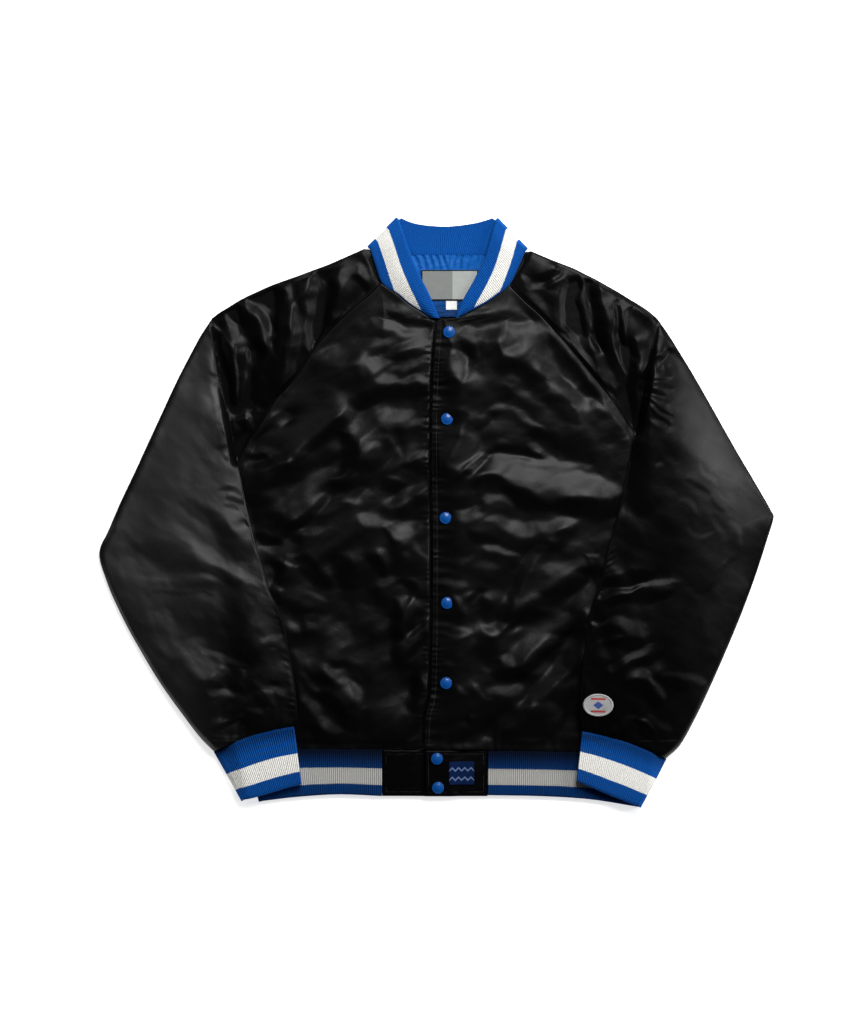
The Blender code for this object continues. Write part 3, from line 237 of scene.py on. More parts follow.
CUFF_RIGHT = outline(
    "share edge_x edge_y",
    (0, 179.2, -344.3), (0.25, 199, -352.6), (0.5, 220, -361.6), (0.75, 241, -370),
    (1, 261.1, -377.6),
)
SNAPS = table(
    "x y",
    (16, 230.4), (13.4, 119), (11.5, -7.7), (13.4, -116.5), (12.2, -218.9), (0.6, -316.2),
    (1.9, -353.3),
)
SNAP_RADIUS = 7.6
SNAP_HEIGHT = 3.4
BLOCK_LEFT_X, BLOCK_RIGHT_X = -70.0, 66.0
BLOCK_BOTTOM_LEFT_Y, BLOCK_BOTTOM_RIGHT_Y = -364.6, -364.8
WELT_LENGTH, WELT_WIDTH, WELT_WALL, WELT_LIFT, WELT_SLANT = 150.0, 24.0, 1.2, 0.3, 0.42
WELT_LEFT = (-171.0, -52.0)
WELT_RIGHT = (186.0, -52.0)
NECK_LABEL = (-19.5, 271.4, 73.0, 39.0)
SIZE_TAB = (12.2, 259.6, 14.0, 11.2)
HEM_LABEL = (16.2, -349.4, 32.0, 29.4)
PATCH_CENTRE = (205.8, -246.0)
PATCH_HALF = (19.2, 14.6)

# Creases: a stroke from one end through a middle to the other, with half its width. A
# lean above 0 tips the cloth towards the light, and one below 0 tips it away.
CREASE_COLUMNS = "x0 y0 x1 y1 x2 y2 width lean"
FRONT_LEFT_CREASES = table(
    CREASE_COLUMNS,
    (-80, 245, -45, 235, -5, 228, 7, 0.6), (-105, 215, -85, 215, -60, 222, 6, 0.5),
    (-158, 203, -125, 202, -88, 194, 11, 0.6), (-140, 188, -115, 193, -80, 188, 6, 0.4),
    (-90, 190, -70, 190, -55, 200, 8, 0.8), (-60, 200, -40, 212, -10, 220, 6, 0.7),
    (-100, 178, -85, 185, -70, 195, 6, 0.6), (-75, 172, -60, 170, -50, 168, 7, 0.7),
    (-60, 180, -45, 185, -25, 190, 4, 0.5), (-45, 165, -30, 170, -10, 172, 5, 0.6),
    (-245, 75, -228, 105, -190, 123, 7, 1.1), (-190, 62, -150, 92, -104, 132, 8, 0.55),
    (-200, -32, -175, -15, -140, 22, 6, 0.8), (-215, 125, -190, 160, -150, 215, 1.5, 0.7),
    (-150, 215, -130, 240, -105, 262, 1.5, 0.6), (-225, 60, -205, 66, -185, 66, 6, 0.8),
    (-75, 122, -50, 125, -30, 128, 8, 0.8), (-70, 110, -40, 113, -10, 118, 7, 0.6),
    (-65, 98, -55, 88, -45, 72, 2.5, 0.5), (-38, 65, -25, 72, -8, 80, 3.5, 0.8),
    (-165, 0, -130, 16, -85, 26, 11, 0.95), (-115, 15, -90, 42, -74, 88, 9, 0.65),
    (-78, 55, -66, 75, -58, 100, 8, 0.5), (-205, 38, -165, 60, -122, 78, 10, -0.8),
    (-100, 80, -85, 92, -75, 105, 8, 0.4), (-130, 45, -115, 50, -100, 48, 6, 0.5),
    (-65, 8, -40, 22, -12, 38, 7, 0.9), (-60, 45, -45, 40, -30, 38, 4, 0.35),
    (-245, 55, -230, 62, -215, 62, 7, 0.8), (-225, 80, -212, 78, -200, 72, 5, 0.4),
    (-60, 257, -40, 243, -5, 238, 6, -0.8), (-62, 196, -40, 203, -15, 202, 5, -0.6),
    (-35, 180, -25, 182, -8, 188, 4, -0.5), (-140, 170, -110, 168, -70, 160, 12, -0.4),
    (-100, 150, -60, 150, -10, 158, 10, -0.8), (-110, 142, -95, 140, -80, 140, 8, -0.7),
    (-120, 115, -140, 85, -165, 65, 15, -1), (-165, 65, -190, 45, -230, 10, 16, -1),
    (-120, 100, -110, 75, -120, 50, 10, -0.9), (-40, 60, -25, 58, -10, 50, 7, -0.5),
    (-70, 30, -50, 33, -40, 30, 6, -0.5), (-35, 12, -20, 15, -8, 12, 6, -0.6),
    (-250, 76, -225, 70, -203, 61, 4, -0.9), (-140, 35, -120, 32, -105, 30, 5, -0.6),
    (-235, 20, -220, 0, -215, -20, 15, -0.7), (-160, 0, -140, 8, -115, 15, 7, 0.8),
    (-180, -10, -172, -7, -165, -5, 4, 0.4), (-195, -28, -180, -26, -165, -28, 4, 0.5),
    (-170, -30, -155, -22, -145, -20, 5, 0.6), (-60, 5, -45, 11, -30, 15, 6, 0.7),
    (-100, -5, -80, -12, -60, -15, 8, 0.8), (-60, -25, -45, -30, -30, -25, 9, 0.8),
    (-55, -15, -40, -18, -20, -15, 6, 0.6), (-75, -48, -68, -55, -60, -70, 5, 0.7),
    (-75, -92, -65, -88, -50, -82, 6, 0.8), (-98, -60, -88, -55, -80, -54, 2.5, 0.4),
    (-28, -38, -20, -50, -12, -62, 3, 0.5), (-45, -50, -40, -52, -36, -56, 5, 0.5),
    (-30, -115, -32, -135, -38, -155, 9, 0.8), (-15, -112, -18, -120, -20, -125, 7, 0.6),
    (-38, -192, -28, -175, -10, -160, 5, 0.8), (-40, -292, -28, -275, -12, -245, 6, 0.6),
    (-225, -45, -210, -47, -198, -47, 5, 0.7), (-198, -62, -188, -66, -175, -68, 1.5, 0.7),
    (-178, -62, -165, -70, -155, -78, 2.5, 0.6), (-165, -100, -150, -108, -140, -118, 2.5, 0.4),
    (-207, -96, -200, -98, -192, -102, 2, 0.8), (-190, -140, -180, -150, -175, -155, 8, 0.6),
    (-168, -135, -140, -148, -112, -165, 15, 1), (-178, -180, -160, -180, -125, -170, 15, 0.8),
    (-165, -190, -150, -200, -140, -195, 10, 0.5), (-145, -195, -120, -215, -105, -240, 8, 0.8),
    (-110, -215, -100, -230, -100, -250, 6, 0.6), (-175, -220, -165, -240, -150, -262, 6, 0.9),
    (-150, -262, -135, -275, -118, -282, 7, 0.9), (-175, -205, -160, -222, -148, -232, 3, 0.6),
    (-98, -290, -90, -290, -80, -287, 4, 0.4), (-175, -58, -155, -80, -135, -95, 9, -0.9),
    (-130, -60, -115, -75, -120, -95, 12, -0.5), (-92, -57, -78, -62, -66, -78, 7, -0.9),
    (-70, -22, -62, -30, -58, -45, 2.5, -0.5), (-85, -100, -70, -110, -60, -115, 7, -0.4),
    (-55, -115, -50, -150, -52, -185, 6, -0.7), (-118, -125, -112, -190, -104, -255, 24, 1),
    (-66, -190, -64, -245, -66, -292, 20, 1), (-95, -120, -80, -135, -60, -140, 16, 0.7),
    (-40, -90, -30, -100, -35, -112, 6, -0.5), (-30, -235, -25, -205, -12, -185, 6, -1),
    (-35, -252, -28, -235, -22, -215, 7, -0.8), (-42, -165, -30, -155, -12, -142, 3.5, -0.8),
    (-190, -115, -170, -130, -145, -130, 9, -0.5), (-160, -208, -145, -212, -135, -222, 7, -1),
    (-155, -235, -135, -245, -118, -260, 9, -1), (-118, -260, -112, -272, -108, -282, 9, -1),
    (-135, -190, -115, -197, -100, -195, 5, -0.5), (-170, -270, -150, -285, -130, -295, 8, -0.6),
    (-200, -297, -150, -298, -100, -298, 4, -0.7), (-230, -32, -215, -36, -200, -38, 5, -1),
    (-210, -65, -200, -75, -205, -90, 8, -0.8), (-205, -105, -200, -112, -198, -120, 3, -1),
    (-215, -5, -195, -15, -175, -40, 10, -0.8),
)
FRONT_RIGHT_CREASES = table(
    CREASE_COLUMNS,
    (30, 230, 60, 228, 95, 225, 8, 0.8), (80, 225, 105, 228, 128, 236, 20, 0.8),
    (85, 210, 95, 205, 108, 212, 8, 0.8), (22, 205, 28, 190, 30, 170, 12, 0.8),
    (45, 205, 50, 203, 55, 200, 6, 0.6), (115, 193, 145, 180, 168, 162, 12, 0.6),
    (160, 165, 175, 148, 190, 132, 9, 0.3), (85, 165, 112, 150, 140, 138, 5, 0.35),
    (55, 118, 72, 134, 97, 134, 4, 0.6), (97, 134, 118, 120, 140, 106, 4, 0.6),
    (35, 100, 52, 112, 68, 126, 8, 0.6), (18, 58, 38, 80, 50, 100, 12, 0.7),
    (70, 120, 100, 105, 115, 95, 14, 0.3), (117, 88, 135, 77, 156, 62, 4, 0.8),
    (75, 92, 85, 93, 95, 90, 3, 0.4), (32, 42, 50, 62, 70, 72, 3.5, 0.9),
    (70, 72, 120, 67, 150, 62, 4, 0.8), (150, 62, 180, 62, 200, 60, 4, 0.5),
    (38, 43, 52, 58, 66, 64, 2.5, 0.6), (42, 60, 120, 56, 215, 34, 15, 0.9),
    (95, 46, 150, 34, 236, 28, 16, 0.9), (60, 18, 80, 17, 100, 12, 6, 0.7),
    (40, 2, 48, 5, 55, 8, 3, 0.5), (30, 245, 80, 250, 115, 247, 7, -0.8),
    (35, 215, 45, 205, 40, 190, 6, -0.5), (75, 208, 80, 195, 100, 185, 12, -0.7),
    (100, 195, 125, 170, 140, 160, 12, -0.6), (60, 185, 75, 170, 95, 150, 15, -0.5),
    (140, 145, 160, 135, 180, 115, 12, -0.6), (150, 225, 170, 190, 200, 150, 12, -1.2),
    (165, 205, 190, 172, 212, 140, 7, -0.9), (200, 130, 215, 110, 240, 100, 15, -0.8),
    (160, 85, 200, 80, 235, 85, 18, -0.5), (120, 100, 145, 95, 155, 80, 8, -0.5),
    (80, 80, 110, 78, 135, 68, 6, -0.6), (10, 120, 30, 120, 45, 120, 8, -0.7),
    (10, 150, 50, 148, 90, 150, 14, -0.6), (50, 30, 65, 45, 85, 40, 6, -0.7),
    (85, 30, 120, 12, 150, 5, 10, -0.9), (150, 5, 200, 5, 230, 0, 12, -0.9),
    (120, 55, 140, 52, 160, 48, 4, -0.2), (238, 90, 242, 50, 242, 0, 15, -0.8),
    (25, 0, 45, 3, 52, 7, 3, 0.6), (25, -10, 40, -6, 58, -4, 5, 0.6),
    (60, -12, 72, -9, 90, -5, 4, 0.5), (85, -10, 105, -22, 125, -26, 9, 0.9),
    (120, -15, 145, -18, 175, -12, 8, 0.8), (62, -42, 80, -48, 105, -56, 4, 1),
    (50, -70, 62, -66, 80, -72, 5, 0.4), (5, -62, 25, -62, 45, -55, 4, 0.4),
    (5, -88, 20, -91, 42, -93, 6, 0.5), (24, -105, 32, -122, 38, -126, 4, 0.7),
    (38, -126, 42, -112, 58, -103, 3.5, 0.8), (10, -148, 25, -148, 48, -150, 4, 0.5),
    (12, -158, 30, -158, 48, -152, 2.5, 0.6), (62, -146, 75, -155, 85, -154, 3.5, 1),
    (85, -154, 95, -148, 106, -136, 3.5, 1), (105, -135, 120, -120, 130, -105, 6, 0.3),
    (98, -190, 128, -164, 168, -134, 15, 1.2), (112, -205, 135, -180, 160, -158, 9, 0.9),
    (130, -122, 160, -102, 192, -84, 13, 0.8), (140, -70, 165, -70, 195, -62, 10, 0.5),
    (160, -45, 180, -45, 200, -50, 8, 0.35), (82, -188, 92, -190, 100, -195, 6, 0.8),
    (10, -190, 18, -193, 25, -195, 3, 0.4), (60, -200, 66, -202, 72, -203, 3, 0.3),
    (48, -220, 58, -232, 70, -240, 3.5, 0.7), (65, -225, 85, -230, 108, -225, 7, 0.8),
    (100, -225, 115, -222, 125, -215, 5, 0.5), (25, -222, 33, -230, 40, -236, 3, 0.5),
    (145, -245, 155, -265, 150, -285, 10, 0.35), (105, -292, 125, -290, 140, -288, 3, 0.5),
    (140, -290, 155, -272, 165, -255, 3, 0.4), (35, -290, 42, -280, 50, -275, 3, 0.4),
    (145, -40, 120, -60, 95, -110, 8, -0.8), (95, -110, 88, -125, 80, -140, 8, -0.7),
    (175, -22, 150, -40, 130, -48, 8, -0.7), (110, -70, 90, -85, 70, -90, 12, -0.4),
    (40, -28, 60, -33, 75, -38, 7, -0.6), (60, -112, 64, -125, 75, -140, 9, -0.8),
    (55, -160, 65, -175, 75, -190, 14, -0.5), (75, -208, 95, -210, 115, -205, 8, -0.6),
    (175, -180, 150, -210, 120, -240, 10, -0.9), (120, -240, 95, -265, 70, -285, 10, -0.9),
    (190, -150, 175, -180, 165, -200, 12, -0.8), (187, -130, 187, -205, 187, -280, 8, -0.7),
    (15, -250, 30, -270, 45, -290, 20, -0.4), (42, -262, 43, -266, 44, -270, 3, -0.8),
    (36, -281, 38, -284, 42, -286, 3, -0.6),
)
SLEEVE_LEFT_CREASES = table(
    CREASE_COLUMNS,
    (-287, 245, -270, 227, -257, 212, 1.6, 0.9), (-257, 212, -256, 175, -257, 132, 1.6, 0.9),
    (-244, 210, -240, 180, -252, 145, 4, 0.8), (-268, 257, -262, 242, -256, 222, 5, 0.6),
    (-243, 272, -226, 250, -208, 226, 5, 0.9), (-155, 310, -161, 262, -163, 208, 8, 0.9),
    (-180, 264, -181, 220, -191, 162, 7, 0.6), (-111, 294, -117, 272, -130, 248, 7, 0.35),
    (-96, 318, -92, 305, -88, 296, 5, 0.4), (-265, 128, -256, 119, -243, 122, 3, 0.8),
    (-245, 128, -240, 115, -243, 102, 4, 0.7), (-258, 112, -254, 100, -258, 90, 6, 0.5),
    (-255, 264, -240, 240, -224, 205, 9, -1), (-228, 215, -232, 175, -235, 135, 10, -1),
    (-207, 288, -200, 245, -204, 205, 11, -1), (-205, 215, -208, 178, -222, 135, 13, -1),
    (-275, 228, -270, 180, -266, 138, 8, -1), (-129, 307, -138, 265, -151, 222, 7, -1),
    (-107, 302, -92, 293, -84, 282, 4, -0.8), (-182, 296, -178, 285, -177, 272, 5, -0.6),
    (-248, 75, -240, 88, -233, 102, 8, -1), (-290, 180, -283, 177, -275, 175, 2, -0.6),
    (-283, 163, -280, 163, -276, 163, 2, -0.6), (-280, 135, -277, 133, -274, 132, 2, -0.6),
    (-278, 115, -274, 114, -270, 113, 3, -0.6), (-271, 103, -269, 100, -267, 96, 2.5, -0.6),
    (-282, 78, -274, 81, -265, 84, 3, -0.6), (-268, 66, -263, 66, -258, 66, 3, -0.6),
    (-278, 27, -262, 28, -248, 22, 3, -0.6), (-268, 17, -257, 14, -245, 12, 3, -0.6),
    (-270, 8, -262, 6, -255, 4, 3, -0.5), (-242, -18, -239, -15, -236, -12, 3, -0.6),
    (-366, -6, -320, -32, -270, -68, 7, 0.3), (-310, -40, -270, -70, -220, -96, 7, 0.2),
    (-378, -82, -360, -87, -340, -86, 2.5, 0.3), (-320, -82, -300, -82, -280, -88, 2.5, 0.4),
    (-400, -60, -385, -110, -370, -140, 16, 0.7), (-345, -130, -350, -160, -330, -180, 20, 1.2),
    (-320, -170, -300, -190, -290, -215, 20, 1.1), (-225, -163, -210, -162, -198, -160, 3, 0.4),
    (-215, -175, -210, -176, -205, -176, 2, 0.4), (-300, -175, -270, -188, -240, -195, 4, 0.6),
    (-275, -195, -270, -205, -285, -215, 6, 0.5), (-245, -200, -260, -210, -275, -218, 5, 0.5),
    (-295, -228, -275, -230, -250, -233, 5, 0.55), (-290, -245, -275, -245, -265, -240, 8, 0.4),
    (-232, -215, -215, -225, -190, -228, 5, 0.5), (-222, -225, -210, -235, -205, -245, 4, 0.5),
    (-245, -250, -230, -255, -212, -250, 3, 0.6), (-278, -280, -265, -268, -250, -262, 3, 0.6),
    (-290, -280, -275, -287, -250, -283, 3, 0.4), (-300, 225, -290, 150, -280, 90, 14, 0.1),
    (-330, 170, -340, 100, -350, 50, 40, 0.9), (-380, 60, -400, 20, -415, -20, 26, 0.8),
    (-325, 12, -290, -8, -262, -30, 10, -0.6), (-285, -15, -262, -38, -240, -62, 12, -0.6),
    (-380, -45, -340, -55, -310, -65, 16, -1), (-320, -55, -290, -75, -250, -90, 8, -0.5),
    (-350, -75, -320, -70, -300, -78, 8, -0.4), (-340, -92, -310, -93, -280, -95, 5, -0.4),
    (-360, -104, -320, -103, -285, -103, 2, -0.4), (-365, -180, -358, -185, -350, -190, 10, -0.35),
    (-290, -125, -260, -140, -230, -150, 25, -0.45), (-260, -165, -245, -175, -235, -190, 14, -0.6),
    (-250, -205, -262, -218, -250, -225, 6, -0.7), (-240, -235, -255, -245, -270, -262, 7, -0.6),
    (-235, -232, -225, -245, -215, -255, 4, -0.5), (-210, -215, -205, -217, -200, -218, 3, -0.7),
    (-275, -278, -262, -270, -248, -262, 1.4, -1), (-249, -271, -247, -270, -245, -269, 2.5, -1),
)
SLEEVE_RIGHT_CREASES = table(
    CREASE_COLUMNS,
    (168, 296, 161, 262, 170, 234, 8, 0.8), (170, 240, 182, 214, 206, 178, 5, 0.6),
    (190, 298, 196, 255, 206, 208, 3, 0.9), (202, 225, 212, 192, 227, 160, 6, 0.9),
    (240, 277, 228, 266, 228, 245, 2, 0.9), (228, 256, 229, 225, 240, 178, 3.2, 1),
    (258, 264, 241, 248, 241, 218, 1.8, 0.6), (241, 218, 247, 202, 260, 186, 2.5, 0.5),
    (165, 222, 190, 192, 214, 160, 2.5, 0.5), (112, 302, 128, 289, 160, 305, 3, 0.7),
    (150, 322, 155, 312, 152, 300, 3, 0.5), (120, 285, 128, 275, 140, 262, 6, 0.4),
    (184, 302, 181, 265, 192, 226, 5, -0.9), (203, 298, 204, 258, 215, 210, 9, -1.3),
    (235, 262, 235, 235, 242, 205, 3, -1), (264, 258, 262, 220, 256, 190, 16, -1),
    (250, 222, 251, 200, 249, 172, 8, -1.2), (249, 192, 251, 150, 252, 112, 8, -1),
    (124, 299, 140, 302, 156, 312, 4, -0.9), (140, 288, 152, 292, 164, 300, 4, -0.7),
    (257, 104, 259, 104, 262, 103, 3, 1), (265, 176, 280, 191, 298, 205, 5, 0.8),
    (270, 166, 288, 164, 302, 160, 3, 0.8), (262, 151, 280, 146, 298, 142, 3, 1),
    (268, 138, 285, 127, 299, 120, 2.2, 0.8), (270, 122, 286, 112, 300, 106, 2.2, 0.6),
    (263, 172, 283, 171, 301, 173, 1.6, -0.8), (262, 160, 275, 156, 291, 151, 4, -0.9),
    (264, 145, 283, 133, 301, 124, 1.8, -0.9), (270, 130, 285, 120, 299, 112, 1.8, -0.7),
    (305, 200, 340, 130, 400, 40, 35, 0.7), (280, 60, 285, 59, 290, 58, 3, 0.6),
    (310, 15, 325, 10, 338, -2, 3, 0.35), (352, -8, 362, -22, 368, -40, 4, 0.4),
    (318, -20, 336, -30, 352, -26, 3, 0.3), (335, 60, 345, 48, 358, 38, 2, 0.5),
    (355, 52, 368, 50, 378, 40, 2, 0.4), (372, -10, 384, -22, 392, -40, 3, 0.35),
    (345, -100, 360, -85, 372, -60, 4, 0.3), (320, -98, 328, -102, 335, -108, 3, 0.3),
    (208, -99, 218, -101, 245, -97, 2, 1), (205, -104, 215, -108, 262, -95, 3, 0.9),
    (262, -95, 280, -88, 310, -88, 3.5, 0.5), (198, -142, 208, -144, 222, -136, 3, 0.9),
    (225, -135, 245, -145, 268, -155, 9, 0.8), (205, -170, 220, -162, 240, -158, 3, 0.6),
    (205, -178, 220, -178, 235, -185, 10, 0.4), (217, -202, 240, -190, 272, -172, 6, 0.8),
    (290, -205, 310, -208, 345, -220, 5, 0.5), (240, -212, 262, -207, 275, -215, 6, 0.8),
    (275, -215, 285, -228, 292, -238, 6, 0.8), (268, -262, 285, -268, 300, -278, 4, 0.5),
    (222, -277, 240, -267, 255, -263, 4, 0.8), (262, -266, 278, -278, 280, -290, 3, 0.7),
    (275, 195, 282, 196, 290, 197, 1.5, -0.5), (280, 185, 286, 186, 292, 186, 1.5, -0.5),
    (270, 100, 290, 80, 300, 60, 20, -0.3), (252, 90, 260, 40, 265, 0, 18, -0.9),
    (270, 0, 270, -40, 270, -80, 35, -1), (320, 40, 335, 30, 350, 22, 2, -0.5),
    (352, 20, 362, 8, 368, 3, 2, -0.6), (215, -115, 260, -108, 300, -105, 8, -0.8),
    (205, -90, 230, -88, 275, -80, 8, -0.9), (215, -168, 225, -168, 235, -167, 3, -0.4),
    (250, -195, 270, -188, 285, -178, 6, -0.6), (285, -205, 300, -215, 320, -225, 8, -0.6),
    (245, -225, 265, -225, 285, -250, 9, -0.8), (253, -268, 260, -275, 258, -288, 1.5, -1),
    (262, -270, 275, -280, 284, -292, 1.5, -0.8), (200, -283, 220, -286, 240, -288, 5, -0.6),
    (360, -70, 355, -150, 340, -240, 30, -0.2),
)


def smooth(share):
    """0 to 1 with level ends."""
    share = np.clip(share, 0.0, 1.0)
    return share * share * (3.0 - 2.0 * share)


def rounded(share):
    """A quarter of an ellipse: 0 at the edge, 1 from a share of 1 on."""
    return np.sqrt(1.0 - (1.0 - np.clip(share, 0.0, 1.0)) ** 2)


def eased(count, pull=0.45):
    """Shares from 0 to 1 that lie closer together at both ends."""
    even = np.linspace(0.0, 1.0, count)
    return (1.0 - pull) * even + pull * (0.5 - 0.5 * np.cos(math.pi * even))


def column(rows, y):
    """The curve's x at height y."""
    order = np.argsort(rows["y"])
    return np.interp(y, rows["y"][order], rows["x"][order])


def joined(*curves):
    """One curve from several, each a pair of x and y arrays."""
    return {
        "x": np.concatenate([np.atleast_1d(x) for x, _ in curves]),
        "y": np.concatenate([np.atleast_1d(y) for _, y in curves]),
    }


def side_of(raglan, side, seam):
    """Side of the body as one curve: its raglan seam, then its side edge."""
    return joined((raglan[seam + "_x"], raglan[seam + "_y"]), (side["x"], side["y"]))


LEFT_OF_FRONT = side_of(RAGLAN_LEFT, SIDE_LEFT, "front")
RIGHT_OF_FRONT = side_of(RAGLAN_RIGHT, SIDE_RIGHT, "front")
LEFT_OF_BACK = side_of(RAGLAN_LEFT, SIDE_LEFT, "back")
RIGHT_OF_BACK = side_of(RAGLAN_RIGHT, SIDE_RIGHT, "back")
LEFT_FRONT_INNER = joined(
    (NECK_LEFT["x"][::-1], NECK_LEFT["y"][::-1]),
    (FRONT_EDGE["x"][0] + UNDERLAP - LAP_TUCK, NECK_LEFT["y"][0] - LAP_TOP),
    (FRONT_EDGE["x"][1:] + UNDERLAP, FRONT_EDGE["y"][1:]),
)
RIGHT_FRONT_INNER = joined(
    (NECK_RIGHT["x"][::-1], NECK_RIGHT["y"][::-1]),
    (FRONT_EDGE["x"], FRONT_EDGE["y"]),
)


def along(x, y, curve_x, curve_y):
    """Distance from a curve of straight pieces, and the length along it to the nearest point."""
    nearest = np.full(np.broadcast(x, y).shape, np.inf)
    run = np.zeros(nearest.shape)
    start = 0.0
    for i in range(len(curve_x) - 1):
        step_x, step_y = curve_x[i + 1] - curve_x[i], curve_y[i + 1] - curve_y[i]
        long = math.hypot(step_x, step_y)
        if long < 1e-6:
            continue
        share = ((x - curve_x[i]) * step_x + (y - curve_y[i]) * step_y) / long**2
        share = np.clip(share, 0.0, 1.0)
        away = np.hypot(x - curve_x[i] - share * step_x, y - curve_y[i] - share * step_y)
        closer = away < nearest
        nearest = np.where(closer, away, nearest)
        run = np.where(closer, start + share * long, run)
        start += long
    return nearest, run


def least(first, *others):
    """The smallest of several arrays, point by point."""
    for other in others:
        first = np.minimum(first, other)
    return first


def xyz(x, y, z):
    """A grid of points from the grids of their x, y and z."""
    return np.stack([x, y, z], axis=2)


def noise(x, y, size, seed):
    """Smooth random heights from -1 to 1: random values on a square lattice, eased between."""
    lattice = np.random.default_rng(seed).uniform(-1.0, 1.0, (64, 64))
    u, v = x / size, y / size
    i, j = np.floor(u).astype(int), np.floor(v).astype(int)
    a, b = smooth(u - i), smooth(v - j)
    i, j, k, l = i % 64, j % 64, (i + 1) % 64, (j + 1) % 64
    low = lattice[i, j] * (1 - a) + lattice[k, j] * a
    high = lattice[i, l] * (1 - a) + lattice[k, l] * a
    return low * (1 - b) + high * b


def crumple(x, y, size, turn, stretch, seed):
    """Soft random leans: three noises, each half as wide as the last, drawn out along a turn."""
    c, s = math.cos(math.radians(turn)), math.sin(math.radians(turn))
    u, v = (x * c + y * s) / stretch, -x * s + y * c
    warp = size * 0.6 * noise(u, v, size * 1.7, seed + 1)
    total = noise(u + warp, v, size, seed + 2)
    total = total + 0.6 * noise(u, v + warp, size / 2, seed + 3)
    return total + 0.35 * noise(u + warp, v - warp, size / 4, seed + 4)


def gathers(run, away, pitch, reach, height, seed):
    """Puckers that stand square to a seam: an uneven wave along it that dies away from it."""
    phase = run / pitch + 0.8 * noise(run, 0.0 * run, pitch * 2.2, seed)
    size = np.maximum(0.5 + 0.75 * noise(run, 0.3 * away, pitch * 1.7, seed + 7), 0.0)
    return height * size * np.sin(2.0 * math.pi * phase) * np.exp(-((away / reach) ** 2))


# Creases: the field's grid, which strokes lean to the side light, the greatest lean, and
# how the strokes and the smooth surface are shaped.
FIELD_STEP = 1.25
FIELD_MARGIN = 60.0
ALONG_LIGHT = 0.78
NARROW = 15.0
LEAN_LIMIT = 1.5
WOBBLE = 3.5
CRUMPLE_SIZE = 17.0
WIDE_REACH = 20.0
ACROSS_EASE = 0.12
LONGEST_WAVE = 190.0


def bent(part, first, middle, last):
    """A curve from first to last that goes through middle half-way."""
    return (1 - part) ** 2 * first + 2 * part * (1 - part) * (2 * middle - (first + last) / 2) + part**2 * last


def crease_field(creases, gain, turn, stretch, rough, seed):
    """Heights whose slope towards the light follows the creases' leans, times the gain.

    The leans are drawn on a square grid as soft strokes, which wobble a little and taper
    to both ends. A narrow stroke that runs nearly along the key light leans to the side
    light instead. Random leans are added, of the size rough, drawn out along a turn. A
    Fourier transform then finds the smooth surface whose slope along the light's
    direction is nearest to the leans: each wave of them is divided by its own slope, with
    an ease for waves that run across the light and for waves longer than the piece.
    """
    xs = np.concatenate([creases["x0"], creases["x1"], creases["x2"]])
    ys = np.concatenate([creases["y0"], creases["y1"], creases["y2"]])
    low_x, low_y = xs.min() - FIELD_MARGIN, ys.min() - FIELD_MARGIN
    count_x = int((xs.max() + FIELD_MARGIN - low_x) / FIELD_STEP)
    count_y = int((ys.max() + FIELD_MARGIN - low_y) / FIELD_STEP)
    grid_x = low_x + FIELD_STEP * np.arange(count_x)
    grid_y = low_y + FIELD_STEP * np.arange(count_y)
    leans = np.zeros((2, count_x, count_y))
    x, y = grid_x[:, None] + 0.0 * grid_y, grid_y + 0.0 * grid_x[:, None]
    uneven_x = x + WOBBLE * noise(x, y, 15.0, seed + 5)
    uneven_y = y + WOBBLE * noise(x, y, 13.0, seed + 6)
    part = np.linspace(0.0, 1.0, 9)
    for x0, y0, x1, y1, x2, y2, width, strength in zip(*creases.values()):
        to_light = abs((x2 - x0) * LIGHT_X + (y2 - y0) * LIGHT_Y) / math.hypot(x2 - x0, y2 - y0)
        lean = leans[int(to_light > ALONG_LIGHT and width < NARROW)]
        curve_x, curve_y = bent(part, x0, x1, x2), bent(part, y0, y1, y2)
        reach = 1.5 * width + 1.0
        strength = gain * strength * min(1.0, WIDE_REACH / reach)
        i = slice(*np.searchsorted(grid_x, (curve_x.min() - reach, curve_x.max() + reach)))
        j = slice(*np.searchsorted(grid_y, (curve_y.min() - reach, curve_y.max() + reach)))
        away, run = along(uneven_x[i, j], uneven_y[i, j], curve_x, curve_y)
        length = np.hypot(np.diff(curve_x), np.diff(curve_y)).sum()
        taper = 0.4 + 0.6 * np.sqrt(np.clip(1.0 - (2.0 * run / length - 1.0) ** 2, 0.0, 1.0))
        lean[i, j] += strength * taper**0.5 * (1.0 - smooth((away / (reach * taper) - 0.25) / 0.75))
    leans = LEAN_LIMIT * np.tanh(leans / LEAN_LIMIT)
    leans[0] += rough * crumple(x, y, CRUMPLE_SIZE, turn, stretch, seed)
    wave_x = 2.0 * math.pi * np.fft.fftfreq(count_x, FIELD_STEP)[:, None]
    wave_y = 2.0 * math.pi * np.fft.fftfreq(count_y, FIELD_STEP)[None, :]
    height = 0.0
    for lean, (light_x, light_y, slope) in zip(leans, LIGHTS):
        to_light = wave_x * light_x + wave_y * light_y
        across = -wave_x * light_y + wave_y * light_x
        weight = to_light**2 + ACROSS_EASE * across**2 + (2.0 * math.pi / LONGEST_WAVE) ** 2
        height = height + np.fft.ifft2(1j * to_light * np.fft.fft2(lean) / weight).real * slope
    return {"x": low_x, "y": low_y, "height": height}


def sample(field, x, y):
    """The field's height at x, y, straight between its grid's points."""
    height = field["height"]
    u = np.clip((x - field["x"]) / FIELD_STEP, 0, height.shape[0] - 1.001)
    v = np.clip((y - field["y"]) / FIELD_STEP, 0, height.shape[1] - 1.001)
    i, j = u.astype(int), v.astype(int)
    a, b = u - i, v - j
    low = height[i, j] * (1 - a) + height[i + 1, j] * a
    high = height[i, j + 1] * (1 - a) + height[i + 1, j + 1] * a
    return low * (1 - b) + high * b


